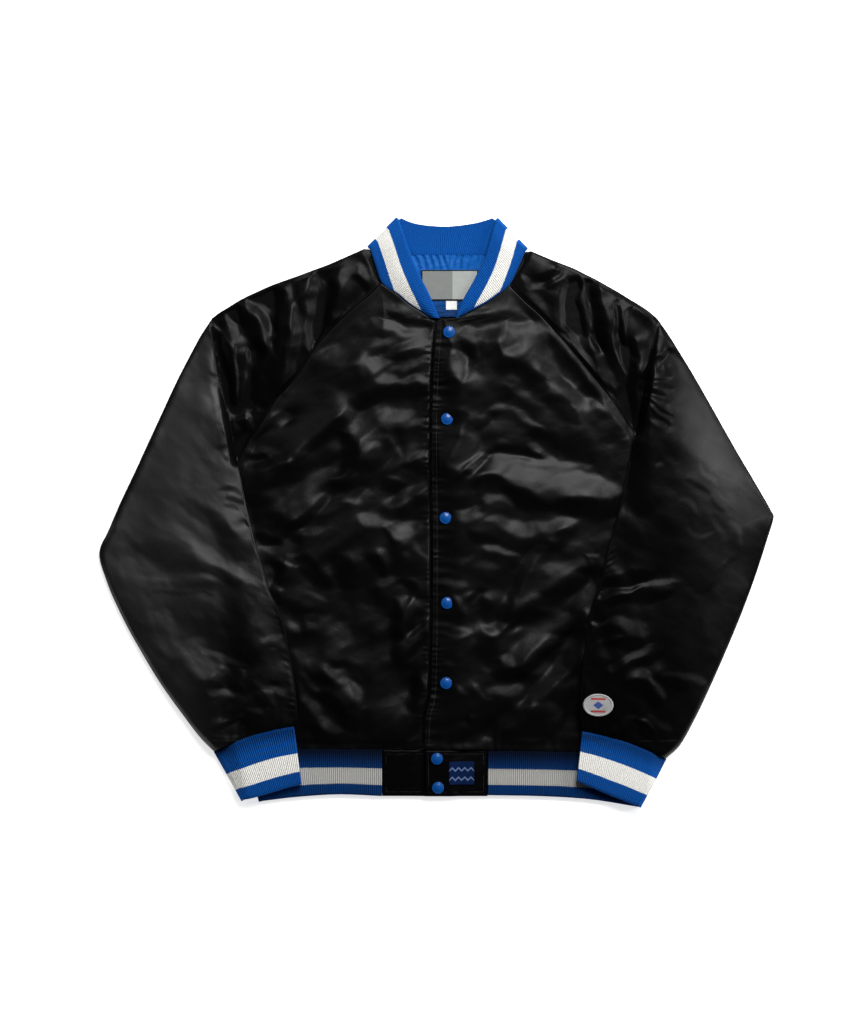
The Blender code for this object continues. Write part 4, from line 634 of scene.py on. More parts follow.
def linear(code):
    """An sRGB hex colour as linear red, green and blue."""
    parts = [int(code[i : i + 2], 16) / 255.0 for i in (1, 3, 5)]
    return tuple(c / 12.92 if c <= 0.04045 else ((c + 0.055) / 1.055) ** 2.4 for c in parts)


def length_property(name, description, default):
    return bpy.props.FloatProperty(
        name=name, description=description, default=default * MM, unit="LENGTH", subtype="DISTANCE"
    )


def colour_property(name, description, code):
    return bpy.props.FloatVectorProperty(
        name=name, description=description, default=linear(code), size=3, min=0.0, max=1.0, subtype="COLOR"
    )


class JacketSizes(bpy.types.PropertyGroup):
    body_padding: length_property("Body padding", "Thickness of a front in its middle", 11.0)
    sleeve_padding: length_property("Sleeve padding", "Thickness of a sleeve's top in its middle", 14.0)
    rib_pitch: length_property("Rib pitch", "Distance from one knit rib to the next", 2.5)
    rib_height: length_property("Rib height", "Height of a knit rib over its grooves", 0.9)
    pucker_height: length_property("Pucker height", "Height of the puckers along a seam", 0.9)
    crease_depth: bpy.props.FloatProperty(
        name="Crease depth", description="Depth of the creases, 1 as laid out", default=1.0, min=0.0, max=2.0
    )


class JacketColours(bpy.types.PropertyGroup):
    satin: colour_property("Satin", "Satin of body and sleeves", "#040405")
    rib: colour_property("Rib knit", "Rib knit of collar, cuffs and hem", "#0A50A0")
    stripe: colour_property("Stripe", "Stripe in the rib knit", "#ECEBE6")
    lining: colour_property("Lining", "Lining in the neck", "#08529E")
    snap: colour_property("Snaps", "Enamel on the snap caps", "#08468C")
    label: colour_property("Neck label", "Woven label in the neck", "#9A9E9B")
    tab: colour_property("Size tab", "Small tab under the neck label", "#E6E6E2")
    navy: colour_property("Hem label", "Woven label on the hem block", "#081B3E")
    patch_red: colour_property("Patch red", "Red thread on the sleeve patch", "#B5403E")
    patch_blue: colour_property("Patch blue", "Blue thread on the sleeve patch", "#3B4F9A")


def sizes():
    return bpy.context.scene.jacket_sizes


def colours():
    return bpy.context.scene.jacket_colours


def in_mm(value):
    return value / MM


# ---------------------------------------------------------------- meshes


def strip(a, b):
    """Triangles that join two chains of points, each step in the order of its share."""
    share_a = np.arange(1, len(a)) / (len(a) - 1)
    share_b = np.arange(1, len(b)) / (len(b) - 1)
    at_b = np.searchsorted(share_b, share_a - 1e-9, side="left")
    at_a = np.searchsorted(share_a, share_b + 1e-9, side="right")
    first = np.stack([a[:-1], a[1:], b[at_b]], axis=1)
    second = np.stack([a[at_a], b[1:], b[:-1]], axis=1)
    return np.concatenate([first, second])


def quads(index):
    corners = (index[:-1, :-1], index[:-1, 1:], index[1:, 1:], index[1:, :-1])
    return np.stack([corner.ravel() for corner in corners], axis=1)


def closed_sheet(upper, lower):
    """A wall between two grids, which may differ in size: strips join their four sides."""
    top = np.arange(upper.shape[0] * upper.shape[1]).reshape(upper.shape[:2])
    under = top.size + np.arange(lower.shape[0] * lower.shape[1]).reshape(lower.shape[:2])
    sides = [
        strip(top[0, ::-1], under[0, ::-1]),
        strip(top[::-1, -1], under[::-1, -1]),
        strip(top[-1], under[-1]),
        strip(top[:, 0], under[:, 0]),
    ]
    faces = quads(top).tolist() + quads(under)[:, ::-1].tolist() + np.concatenate(sides).tolist()
    return np.concatenate([upper.reshape(-1, 3), lower.reshape(-1, 3)]), faces


def volume(points, faces):
    """Six times the volume within the faces, each cut into triangles from its first corner."""
    whole = 0.0
    for count in (3, 4):
        corners = np.array([face for face in faces if len(face) == count], int).reshape(-1, count)
        for k in range(1, count - 1):
            a, b, c = (points[corners[:, j]] for j in (0, k, k + 1))
            whole += np.einsum("ij,ij->i", a, np.cross(b, c)).sum()
    return whole


def make_piece(name, points, faces, look, nodes=(), values=None, uv=None, sharp=50.0):
    """A piece from points in millimetres, facing outwards, in place of its CAD nodes."""
    points = np.asarray(points, float)
    if volume(points, faces) < 0.0:
        faces = [face[::-1] for face in faces]
    mesh = bpy.data.meshes.new(name)
    mesh.from_pydata(points * MM, [], faces)
    for key, value in (values or {}).items():
        attribute = mesh.attributes.new(key, "FLOAT", "POINT")
        attribute.data.foreach_set("value", np.asarray(value, float).ravel())
    if uv is not None:
        corners = np.empty(len(mesh.loops), int)
        mesh.loops.foreach_get("vertex_index", corners)
        cloth = mesh.uv_layers.new(name="cloth")
        cloth.uv.foreach_set("vector", np.asarray(uv, float).reshape(-1, 2)[corners].ravel())
    mesh.shade_smooth()
    mesh.set_sharp_from_angle(angle=math.radians(sharp))
    mesh.materials.append(look)
    mesh.update()
    obj = bpy.data.objects.new(name, mesh)
    bpy.context.scene.collection.objects.link(obj)
    if nodes:
        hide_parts(*nodes)
    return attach(obj, BODY)


# ---------------------------------------------------------------- heights

FIELDS = {}


def field_of(name):
    """The creases of a panel, worked out once."""
    recipes = {
        "front_left": (FRONT_LEFT_CREASES, 1.12, 28.0, 2.2, 0.32, 11),
        "front_right": (FRONT_RIGHT_CREASES, 1.15, 15.0, 2.2, 0.26, 23),
        "sleeve_left": (SLEEVE_LEFT_CREASES, 1.3, -40.0, 2.2, 0.3, 37),
        "sleeve_right": (SLEEVE_RIGHT_CREASES, 1.2, -35.0, 2.2, 0.22, 41),
    }
    if name not in FIELDS:
        FIELDS[name] = crease_field(*recipes[name])
    return FIELDS[name]


def pad(inside, middle):
    """Thickness of a padded wall: it swells from the seam's roll to its middle."""
    wall = PAD_EDGE + (middle - PAD_EDGE) * smooth(inside / PUFF_REACH)
    return SEAM_FLOOR + (wall - SEAM_FLOOR) * rounded(inside / SEAM_ROLL)


def inside_front(x, y, side, neck):
    """Distance from a front's seams and from its side seam, and the length along that seam."""
    away, run = along(x, y, side["x"], side["y"])
    away_neck, _ = along(x, y, neck["x"], neck["y"])
    return least(away, away_neck, np.maximum(y - HEM_Y, 0.0)), away, run


def left_lap(x, y):
    """1 where the left front lies under the right one, 0 outside it."""
    return smooth((x - column(FRONT_EDGE, y) + LEFT_STEP) / (LEFT_STEP - STEP_CLEAR / 2))


def right_lap(x, y):
    """1 where the right front lies over the left one's underlap."""
    end = column(FRONT_EDGE, y) + UNDERLAP
    return 1.0 - smooth((x - end - STEP_CLEAR) / STEP_RUN)


def left_base(x, y):
    return BACK_WALL + LAY_GAP + 0.0 * x


def right_base(x, y):
    over_neck = smooth((y - NECK_RIGHT["y"][0] - STEP_CLEAR) / STEP_RUN)
    return BACK_WALL + LAY_GAP + (UNDERLAP_WALL + LAY_GAP) * right_lap(x, y) * (1.0 - over_neck)


def uncovered(x, y, arm, outward):
    """1 on the front, falling to 0 under the sleeve that lies on it."""
    order = np.argsort(arm["in_y"])
    edge = np.interp(y, arm["in_y"][order], arm["in_x"][order], right=outward * 1000.0)
    return 1.0 - smooth((outward * (x - edge) + 4.0) / 16.0)


def away_from_snaps(x, y):
    """1 on the cloth, falling to 0 under a snap cap."""
    share = np.ones(np.broadcast(x, y).shape)
    for snap_x, snap_y in zip(SNAPS["x"], SNAPS["y"]):
        share = share * smooth((np.hypot(x - snap_x, y - snap_y) - 6.0) / 9.0)
    return share


def plain_top(x, y, side_name):
    """A front's top without its creases: base and padding."""
    if side_name == "left":
        inside, _, _ = inside_front(x, y, LEFT_OF_FRONT, NECK_LEFT)
        wall = pad(inside, in_mm(sizes().body_padding))
        return left_base(x, y) + wall + (UNDERLAP_WALL - wall) * left_lap(x, y)
    inside, _, _ = inside_front(x, y, RIGHT_OF_FRONT, NECK_RIGHT)
    inside = np.minimum(inside, 1.6 * (x - column(FRONT_EDGE, y)) + 0.4)
    over_neck = smooth((y - NECK_RIGHT["y"][0] - STEP_CLEAR) / STEP_RUN)
    ease = 1.0 - smooth((x - column(FRONT_EDGE, y) - UNDERLAP - STEP_CLEAR) / 80.0)
    base = left_base(x, y) + (UNDERLAP_WALL + LAY_GAP) * ease * (1.0 - over_neck)
    return np.maximum(base, right_base(x, y)) + pad(inside, in_mm(sizes().body_padding))


def front_top(x, y, side_name):
    """A front's top: base, padding, creases, and puckers along its seams."""
    pucker = in_mm(sizes().pucker_height)
    if side_name == "left":
        side, neck, arm, outward, seed = LEFT_OF_FRONT, NECK_LEFT, ARM_LEFT, -1.0, 50
    else:
        side, neck, arm, outward, seed = RIGHT_OF_FRONT, NECK_RIGHT, ARM_RIGHT, 1.0, 60
    inside, away, run = inside_front(x, y, side, neck)
    shown = uncovered(x, y, arm, outward)
    creases = sizes().crease_depth * sample(field_of("front_" + side_name), x, y)
    creases = creases * smooth((inside + 2.0) / 14.0) * shown
    uneven = smooth(0.4 + 1.5 * noise(run, 0.0 * run, 31.0, seed + 9))
    puckers = uneven * gathers(run, away, 17.0, 8.0, 0.45 * pucker, seed)
    puckers = puckers + gathers(x, y - HEM_Y, 15.0, 20.0, 0.8 * pucker, seed + 1)
    to_edge = x - column(FRONT_EDGE, y)
    if side_name == "left":
        creases = creases * smooth(-to_edge / 7.0)
        puckers = puckers + gathers(y, to_edge + 5.0, 8.0, 6.0, 0.7 * pucker, seed + 2)
        puckers = puckers * (1.0 - left_lap(x, y))
    else:
        creases = creases * smooth((to_edge - 1.0) / 9.0)
        puckers = puckers + gathers(y, to_edge - 5.0, 8.0, 8.0, 0.8 * pucker, seed + 2)
        puckers = puckers + gathers(y, to_edge - 11.0, 16.0, 13.0, 0.6 * pucker, seed + 3)
    roll = rounded(inside / SEAM_ROLL)
    top = plain_top(x, y, side_name) + creases * roll + puckers * shown * roll * away_from_snaps(x, y)
    base = left_base(x, y) if side_name == "left" else right_base(x, y)
    floor = base + SEAM_FLOOR - 2.0 * smooth((inside - 2.0) / 12.0)
    over = top - floor
    return floor + 0.5 * (over + np.sqrt(over**2 + 0.6))


def on_welt(x, y, corner, outward):
    """1 over a welt, falling to 0 round it."""
    down = corner[1] - y
    across = outward * (x - corner[0]) - WELT_SLANT * down
    off = np.maximum(np.maximum(-across, across - WELT_WIDTH), 0.0)
    off = np.maximum(off, np.maximum(-down, down - WELT_LENGTH))
    return 1.0 - smooth((off - 2.0) / 22.0)


def rest_height(x, y, side_name, ramp=REST_RAMP):
    """Height of what lies under a sleeve: 0 beside the body, its top on it."""
    if side_name == "left":
        front, fold, outward, corner = LEFT_OF_FRONT, HEM_LEFT, -1.0, WELT_LEFT
    else:
        front, fold, outward, corner = RIGHT_OF_FRONT, HEM_RIGHT, 1.0, WELT_RIGHT
    row = np.argmax(np.abs(fold["edge_x"]))
    outer = joined((front["x"], front["y"]), (fold["edge_x"][row], fold["edge_y"][row]))
    edge = column(outer, y)
    inside = outward * (edge - x)
    x_on = np.where(inside > 0.0, x, edge)
    from_side, _ = along(x_on, np.maximum(y, HEM_Y), front["x"], front["y"])
    wall = PAD_EDGE + (in_mm(sizes().body_padding) - PAD_EDGE) * smooth(from_side / PUFF_REACH)
    low_wall = np.minimum(wall, PAD_EDGE + 7.0 * smooth((y - HEM_Y) / PUFF_REACH))
    wall = np.where(y > HEM_Y + PUFF_REACH, wall, low_wall)
    top = BACK_WALL + LAY_GAP + wall
    top = top + (WELT_WALL + TRIM_LIFT + 0.8) * on_welt(x, y, corner, outward)
    hem = 2.0 * KNIT_WALL + LAY_GAP + 1.8
    rise = (HEM_Y + HEM_RISE_END - y) / (HEM_RISE_END - HEM_RISE_START)
    top = np.maximum(top, hem * smooth(rise))
    return (top + REST_GAP) * smooth((inside + ramp) / (ramp - REST_LEVEL))


# ---------------------------------------------------------------- body panels

BODY_STEP = 1.9
FRONT_COLUMNS = 138


def panel(left, right, low_y, high_y, step, columns, inset=SEAM_GAP / 2):
    """x and y of a panel's grid: level rows between two curves, each drawn in by an inset."""
    heights = np.linspace(low_y, high_y, int((high_y - low_y) / step) + 1)
    y = np.repeat(heights[:, None], columns, axis=1)
    start, end = (column(left, heights) + inset)[:, None], (column(right, heights) - inset)[:, None]
    return start + (end - start) * eased(columns)[None, :], y


def hem_tilt(x, y):
    """Turns the lowest rows a little, so that they follow the hem line."""
    near = np.clip(1.0 - (y - HEM_Y) / HEM_TILT_REACH, 0.0, 1.0)
    return y + HEM_TILT * x * near


def layer(x, y, z):
    """A grid of points with its lowest rows on the hem line."""
    return xyz(x, hem_tilt(x, y), np.broadcast_to(z, x.shape))


def thinned(grid, rows, columns):
    """Every so many rows and columns of a grid, always with the last ones."""
    i = np.unique(np.linspace(0, grid.shape[0] - 1, rows).round().astype(int))
    j = np.unique(np.linspace(0, grid.shape[1] - 1, columns).round().astype(int))
    return grid[i][:, j]


def make_front(side_name, look):
    """A front panel between its raglan and side seam and the opening.

    Top: x, y on the grid, z = base + padding + creases + puckers. Underside: z = base.
    """
    if side_name == "left":
        curves, raglan, base = (LEFT_OF_FRONT, LEFT_FRONT_INNER), RAGLAN_LEFT, left_base
    else:
        curves, raglan, base = (RIGHT_FRONT_INNER, RIGHT_OF_FRONT), RAGLAN_RIGHT, right_base
    x, y = panel(*curves, HEM_Y + SEAM_GAP, raglan["front_y"][0] - SEAM_GAP, BODY_STEP, FRONT_COLUMNS)
    upper = layer(x, y, front_top(x, y, side_name))
    lower = layer(x, y, base(x, y))
    points, faces = closed_sheet(upper, thinned(lower, 100, 30))
    name = "front_" + side_name
    return make_piece(name + "_panel", points, faces, look, [name])


def make_back(look):
    """The back: z = wall above, and below 0 with faint dents, rolled up at its edges."""
    x, y = panel(LEFT_OF_BACK, RIGHT_OF_BACK, HEM_Y + SEAM_GAP, NECK_BACK_Y - SEAM_GAP, 4.0, 110)
    away_left, _ = along(x, y, LEFT_OF_BACK["x"], LEFT_OF_BACK["y"])
    away_right, _ = along(x, y, RIGHT_OF_BACK["x"], RIGHT_OF_BACK["y"])
    away = least(away_left, away_right, y - HEM_Y, NECK_BACK_Y - y)
    roll = 1.0 - rounded(away / 6.0)
    rough = 0.35 * smooth(away / 30.0) * (1.0 + crumple(x, y, 38.0, 15.0, 1.8, 71))
    at_hem = 0.5 + 0.5 * gathers(x, y - HEM_Y, 14.0, 30.0, 1.0, 73)
    rough = np.clip(rough, 0.0, 1.2) + 0.8 * at_hem * np.exp(-(((y - HEM_Y) / 30.0) ** 2))
    upper = layer(x, y, BACK_WALL - 1.6 * roll)
    lower = layer(x, y, np.minimum(2.0 * roll + np.clip(rough, 0.0, 1.4), 2.4))
    points, faces = closed_sheet(thinned(upper, 60, 40), lower)
    return make_piece("back_panel", points, faces, look, ["back"])


# ---------------------------------------------------------------- sleeves

SLEEVE_COLUMNS = 108
SLEEVE_UNDER_COLUMNS = 22
VALLEY_REACH = 34.0
VALLEY_SHARE = 0.3
RAGLAN_SHARE = 0.5
ARM_ROLL = 15.0


def rubbed(side_name, x, y):
    """How far wear has flattened an arm's satin: 0 for none, about 1 on its outer side."""
    if side_name == "left":
        return 0.15 + 0.45 * smooth((y + 150.0) / 100.0) + 1.1 * smooth((-240.0 - x) / 100.0)
    return smooth((x - 290.0) / 80.0) * (0.3 + 0.95 * smooth((y + 60.0) / 140.0)) - 0.25


def tube_rows(raglan, arm):
    """A whole sleeve's rows: the raglan part's, then the arm's."""
    names = {"out": ("out", "out"), "front": ("front", "in"), "back": ("back", "in")}
    return {
        name + axis: np.concatenate([raglan[a + axis], arm[b + axis]])
        for name, (a, b) in names.items()
        for axis in ("_x", "_y")
    }


def from_row(x, y, rows, at):
    """Distance from one row of a sleeve's front."""
    return along(x, y, *([rows["front" + axis][at], rows["out" + axis][at]] for axis in ("_x", "_y")))[0]


def make_sleeve(side_name, raglan, arm, look):
    """A flat tube from the raglan seam to the cuff, with its slit on its inner side.

    A row runs from the seam to the outer fold. Top: z = rest + slit + wall, where the
    wall rolls down at the fold as a quarter of an ellipse. Under: z falls from the fold
    to what it rests on. The raglan part dips towards the arm's first row, and the arm
    rolls up from it.
    """
    raglan, arm = denser(raglan, 3), denser(arm, 6)
    both = tube_rows(raglan, arm)
    bow = np.concatenate([0.0 * raglan["out_x"], arm["bow"]])[:, None]
    raglan_rows = len(raglan["out_x"])
    is_arm = (np.arange(len(bow)) >= raglan_rows)[:, None]
    turn = [arm["out_x"][0], arm["in_x"][0]], [arm["out_y"][0], arm["in_y"][0]]
    step = 0.5 * SEAM_GAP * (-1.0 if side_name == "left" else 1.0)
    middle_wall = in_mm(sizes().sleeve_padding)
    pucker = in_mm(sizes().pucker_height)
    seed = 80 if side_name == "left" else 90

    def across(half, part):
        start_x, start_y = both[half + "_x"][:, None] + step, both[half + "_y"][:, None]
        x = start_x + (both["out_x"][:, None] - start_x) * part
        y = start_y + (both["out_y"][:, None] - start_y) * part + bow * 4.0 * part * (1.0 - part)
        return x, y

    def ramp(from_turn):
        return np.where(is_arm, smooth(from_turn / 7.0), 0.0)

    outer, inner = [], []
    for half, count in (("front", SLEEVE_COLUMNS), ("back", SLEEVE_UNDER_COLUMNS)):
        shares = eased(count, 0.6)[None, :]
        x, y = across(half, shares)
        width = np.hypot(both["out_x"] - both[half + "_x"], both["out_y"] - both[half + "_y"])[:, None]
        to_out, to_in = (1.0 - shares) * width, shares * width
        from_turn, _ = along(x, y, *turn)
        rest = rest_height(x, y, side_name) * ramp(from_turn)
        middle = rest + SLEEVE_UNDER_WALL + LAY_GAP / 2
        if half == "front":
            spread = rest_height(x, y, side_name, LONG_RAMP) * ramp(from_turn) - rest
            start, end = from_row(x, y, both, 0), from_row(x, y, both, -1)
            inside = sum(np.maximum(gap, 0.01) ** -2.5 for gap in (to_out, to_in, start, end)) ** -0.4
            puff = smooth(inside / PUFF_REACH) * np.where(is_arm, 1.0, RAGLAN_SHARE)
            swell = PAD_EDGE + (middle_wall - PAD_EDGE) * puff
            valley = np.where(is_arm, rounded(from_turn / ARM_ROLL), smooth(from_turn / VALLEY_REACH))
            swell = swell * (VALLEY_SHARE + (1.0 - VALLEY_SHARE) * valley)
            seam_roll = np.where(is_arm, rounded((to_in + 1.5) / SOFT_EDGE), rounded(to_in / SEAM_ROLL))
            swell = SEAM_FLOOR + (swell - SEAM_FLOOR) * seam_roll
            cuff_roll, neck_roll = 0.35 + 0.65 * rounded(end / 10.0), 0.4 + 0.6 * rounded(start / 8.0)
            seam_steps = np.hypot(np.diff(both["front_x"]), np.diff(both["front_y"]))
            run = np.concatenate([[0.0], np.cumsum(seam_steps)])[:, None] + 0.0 * x
            lift = sizes().crease_depth * sample(field_of("sleeve_" + side_name), x, y)
            lift = lift * smooth((inside + 1.0) / 8.0)
            lift = lift * np.where(is_arm, 1.0, smooth((from_turn + 8.0) / 20.0))
            uneven = smooth(0.5 + 1.4 * noise(run, 0.0 * x, 38.0, seed + 9))
            puckers = gathers(run, to_in, 11.0, np.where(is_arm, 12.0, 6.0), 0.35 * pucker, seed)
            lift = lift + uneven * puckers * smooth(to_in / 3.0)
            lift = lift + gathers(to_in, end, 14.0, 24.0, 0.5 * pucker, seed + 1) * smooth(end / 3.0)
            wall = np.maximum((swell + lift * smooth(to_in / 6.0)) * cuff_roll * neck_roll, 0.8)
            z = middle + LAY_GAP / 2 * (shares < 1.0) + (wall + spread) * rounded(to_out / OUTER_EDGE)
            rub = (rubbed(side_name, x, y) + 0.2) * smooth(from_turn / 10.0) * smooth(to_out / 12.0)
            rub = np.where(is_arm, rub, 0.0) - 0.2
        else:
            dents = 0.6 + 0.5 * crumple(x, y, 34.0, 60.0, 1.8, seed + 5)
            floor = rest + 0.9 * smooth(to_in / 25.0) * smooth(to_out / 25.0) * dents
            floor = np.minimum(np.maximum(floor, rest), rest + 1.6)
            z = middle - (middle - floor) * rounded(to_out / UNDER_EDGE)
        outer.append(xyz(x, y, z))
        slit_shares = np.linspace(0.0, 1.0, 12)[None, :]
        slit_x, slit_y = across(half, np.minimum(slit_shares, 1.0 - SLIT_STOP / width))
        slit_turn, _ = along(slit_x, slit_y, *turn)
        slit_rest = rest_height(slit_x, slit_y, side_name) * ramp(slit_turn)
        open_slit = LAY_GAP / 2 * (slit_shares < 1.0) * (1.0 if half == "front" else -1.0)
        inner.append(xyz(slit_x, slit_y, slit_rest + SLEEVE_UNDER_WALL + LAY_GAP / 2 + open_slit))
    outer, inner = (np.concatenate([top, under[:, -2::-1]], axis=1) for top, under in (outer, inner))
    keep = np.append(np.arange(0, len(inner), 4), [raglan_rows - 1, raglan_rows, len(inner) - 1])
    points, faces = closed_sheet(outer, inner[np.unique(keep)])
    rubs = np.zeros(outer.shape[:2])
    rubs[:, :SLEEVE_COLUMNS] = rub
    rubs = np.append(rubs, np.zeros(len(points) - rubs.size))
    name = "sleeve_" + side_name
    return make_piece(name + "_tube", points, faces, look, [name], {"rub": rubs})


# ---------------------------------------------------------------- rib knit

BAND_SHARES = 22
STATIONS_PER_RIB = 6
BAND_BULGE = 0.9
BAND_ROLL = 1.3


def stations(rows, pitch):
    """A band's stations along a table, at an even distance, and the length up to each."""
    middle_x = 0.5 * (rows["seam_x"] + rows["edge_x"])
    middle_y = 0.5 * (rows["seam_y"] + rows["edge_y"])
    length = np.concatenate([[0.0], np.cumsum(np.hypot(np.diff(middle_x), np.diff(middle_y)))])
    at = np.linspace(0.0, length[-1], max(2, int(round(length[-1] / pitch)) + 1))
    return {name: np.interp(at, length, rows[name]) for name in rows}, at


def fold_normal(rows):
    """Unit direction out of a run over its last row, square to that row."""
    line_x = rows["edge_x"][-1] - rows["seam_x"][-1]
    line_y = rows["edge_y"][-1] - rows["seam_y"][-1]
    run_x = rows["seam_x"][-1] - rows["seam_x"][-2]
    run_y = rows["seam_y"][-1] - rows["seam_y"][-2]
    turn = math.copysign(1.0, -line_y * run_x + line_x * run_y) / math.hypot(line_x, line_y)
    return -line_y * turn, line_x * turn


def trimmed_end(rows, radius):
    """A run whose end is drawn back by the radius of the fold that follows."""
    kept = {name: values.copy() for name, values in rows.items()}
    out_x, out_y = fold_normal(rows)
    for part in ("seam", "edge"):
        x, y = kept[part + "_x"], kept[part + "_y"]
        back = (x - x[-1]) * out_x + (y - y[-1]) * out_y
        keep = np.clip(-back / radius, 0.0, 1.0)
        shift_x, shift_y = x[-1] - x[-4], y[-1] - y[-4]
        scale = radius / max(shift_x * out_x + shift_y * out_y, 1e-6)
        x -= shift_x * scale * (1.0 - keep)
        y -= shift_y * scale * (1.0 - keep)
    return kept


def reversed_rows(rows):
    return {name: values[::-1] for name, values in rows.items()}


def off_the_seam(rows):
    """A band's rows with the seam moved in by the seam gap."""
    kept = {name: values.copy() for name, values in rows.items()}
    long = np.hypot(rows["edge_x"] - rows["seam_x"], rows["edge_y"] - rows["seam_y"])
    for axis in ("_x", "_y"):
        kept["seam" + axis] += (rows["edge" + axis] - rows["seam" + axis]) * SEAM_GAP / long
    return kept


def rib_profile(length):
    """A rib's height along the band: a round back between narrow grooves, 0 to 1."""
    part = np.mod(length / in_mm(sizes().rib_pitch), 1.0)
    return 1.0 - np.abs(2.0 * part - 1.0) ** 2.6


def band_grid(at, shares):
    """x, y and the width of a band at its stations, for shares from its seam to its edge."""
    wide_x, wide_y = at["edge_x"] - at["seam_x"], at["edge_y"] - at["seam_y"]
    x = at["seam_x"][:, None] + wide_x[:, None] * shares
    y = at["seam_y"][:, None] + wide_y[:, None] * shares
    return x, y, np.hypot(wide_x, wide_y)[:, None]


def knit_band(name, upper_runs, lower_run, look, rest, lift, stripe, bare=None):
    """A double knit that is folded flat at the ends of its upper runs.

    Upper faces: z = rest + layers + bulge + rib, with the rib a function of the length
    along the band. A fold is half a circle about the run's last row. The lower layer
    lies on what the band rests on. stripe gives millimetres inside the white stripe, and
    bare says where the lower layer's upper face shows and is ribbed too.
    """
    shares = eased(BAND_SHARES, 0.5)[None, :]
    fine = in_mm(sizes().rib_pitch) / STATIONS_PER_RIB
    rib_height = in_mm(sizes().rib_height)
    outer, inner, lengths, marks, depths = [], [], [], [], []
    travelled = 0.0

    def add(outer_face, inner_face, length, white, deep):
        outer.append(outer_face)
        inner.append(inner_face)
        for kept, values in ((lengths, length[:, None]), (marks, white), (depths, deep)):
            kept.append(np.broadcast_to(values, outer_face.shape[:2]))

    def upper(rows, backwards):
        nonlocal travelled
        at, run = stations(trimmed_end(rows, FOLD_RADIUS), fine)
        x, y, long = band_grid(at, shares)
        ends = np.minimum(shares, 1.0 - shares) * long
        base = rest(x, y) + KNIT_WALL + LAY_GAP + lift(x, y, np.broadcast_to(shares, x.shape), rows)
        top = base + (KNIT_WALL - BAND_ROLL) + BAND_ROLL * rounded(ends / 3.0)
        top = top + BAND_BULGE * 4.0 * shares * (1.0 - shares)
        top = top + rib_height * rib_profile(run)[:, None] * smooth((ends + 0.8) / 2.5)
        faces = [xyz(x, y, top), xyz(x, y, base)]
        middle = rest(x[-1], y[-1]) + KNIT_WALL + LAY_GAP / 2
        out_x, out_y = fold_normal(rows)
        angle = np.radians(np.linspace(80.0, -80.0, 13))[:, None]
        for i, radius in enumerate((FOLD_RADIUS + 0.5, LAY_GAP / 2)):
            # The fold keeps to half a circle, but never sinks under what it rests on.
            height = np.maximum(middle + radius * np.sin(angle), middle - FOLD_RADIUS)
            fold_x = x[-1] + out_x * radius * np.cos(angle)
            fold_y = y[-1] + out_y * radius * np.cos(angle)
            faces[i] = np.concatenate([faces[i], xyz(fold_x, fold_y, height)])
        white, deep = (
            np.concatenate([values, values[-1:].repeat(len(angle), axis=0)])
            for values in (stripe(shares, long), shares * long)
        )
        turned = FOLD_RADIUS * np.radians(90.0 - np.degrees(angle[:, 0]))
        run = np.concatenate([run, run[-1] + turned])
        if backwards:
            faces = [face[::-1] for face in faces]
            white, run, deep = white[::-1], (run[-1] - run)[::-1], deep[::-1]
        add(*faces, travelled + run, white, deep)
        travelled += run.max()

    upper(upper_runs[0], False)
    lower = reversed_rows(trimmed_end(reversed_rows(lower_run), FOLD_RADIUS + 1.0))
    if len(upper_runs) > 1:
        lower = trimmed_end(lower, FOLD_RADIUS + 1.0)
    at, run = stations(lower, fine if bare else 2.5)
    x, y, long = band_grid(at, shares)
    floor = rest(x, y)
    under = floor + 1.0 - rounded(np.minimum(shares, 1.0 - shares) * long / 3.0)
    over = floor + KNIT_WALL
    if bare:
        over = over + rib_height * rib_profile(run)[:, None] * bare(x, y)
    add(xyz(x, y, under), xyz(x, y, over), travelled + run, stripe(shares, long), shares * long)
    travelled += run[-1]
    if len(upper_runs) > 1:
        upper(upper_runs[1], True)
    outer, inner, lengths, marks, depths = map(np.concatenate, (outer, inner, lengths, marks, depths))
    keep, cols = slice(None), slice(None)
    if bare is None:
        keep = np.unique(np.linspace(0, len(inner) - 1, len(inner) // 5).round().astype(int))
        cols = np.unique(np.linspace(0, shares.size - 1, 6).round().astype(int))
    inner = inner[keep][:, cols]
    points, faces = closed_sheet(outer, inner)
    places = np.stack([lengths, depths], axis=2)
    uv = np.concatenate([places.reshape(-1, 2), places[keep][:, cols].reshape(-1, 2)])
    # The inner faces have no stripe.
    values = {"stripe": np.append(marks, np.full(inner.shape[0] * inner.shape[1], -9.0))}
    return make_piece(name + "_band", points, faces, look, [name], values, uv, 75.0)


def stripe_by_share(low, high):
    """Millimetres inside a stripe between two shares of the band's height."""
    return lambda shares, long: (0.5 * (high - low) - np.abs(shares - 0.5 * (low + high))) * long


def collar_stripe(shares, long):
    """Millimetres inside the collar's stripe, measured from its free edge."""
    from_edge = (1.0 - shares) * long
    return least(from_edge - 18.5, 39.0 - from_edge, shares * long - 2.0)


def collar_lift(x, y, shares, rows):
    """Rise of the collar's fronts over the back neck, away from the shoulder fold."""
    last_x, last_y = ([rows["seam" + axis][-1], rows["edge" + axis][-1]] for axis in ("_x", "_y"))
    last, _ = along(x, y, last_x, last_y)
    rise = BACK_WALL - KNIT_WALL + COLLAR_CLEAR + COLLAR_LIFT * smooth(shares / COLLAR_RISE_SHARE)
    return rise * smooth(last / COLLAR_RAMP)


def level(x, y, *others):
    """A height of 0 everywhere."""
    return np.zeros(np.shape(x))


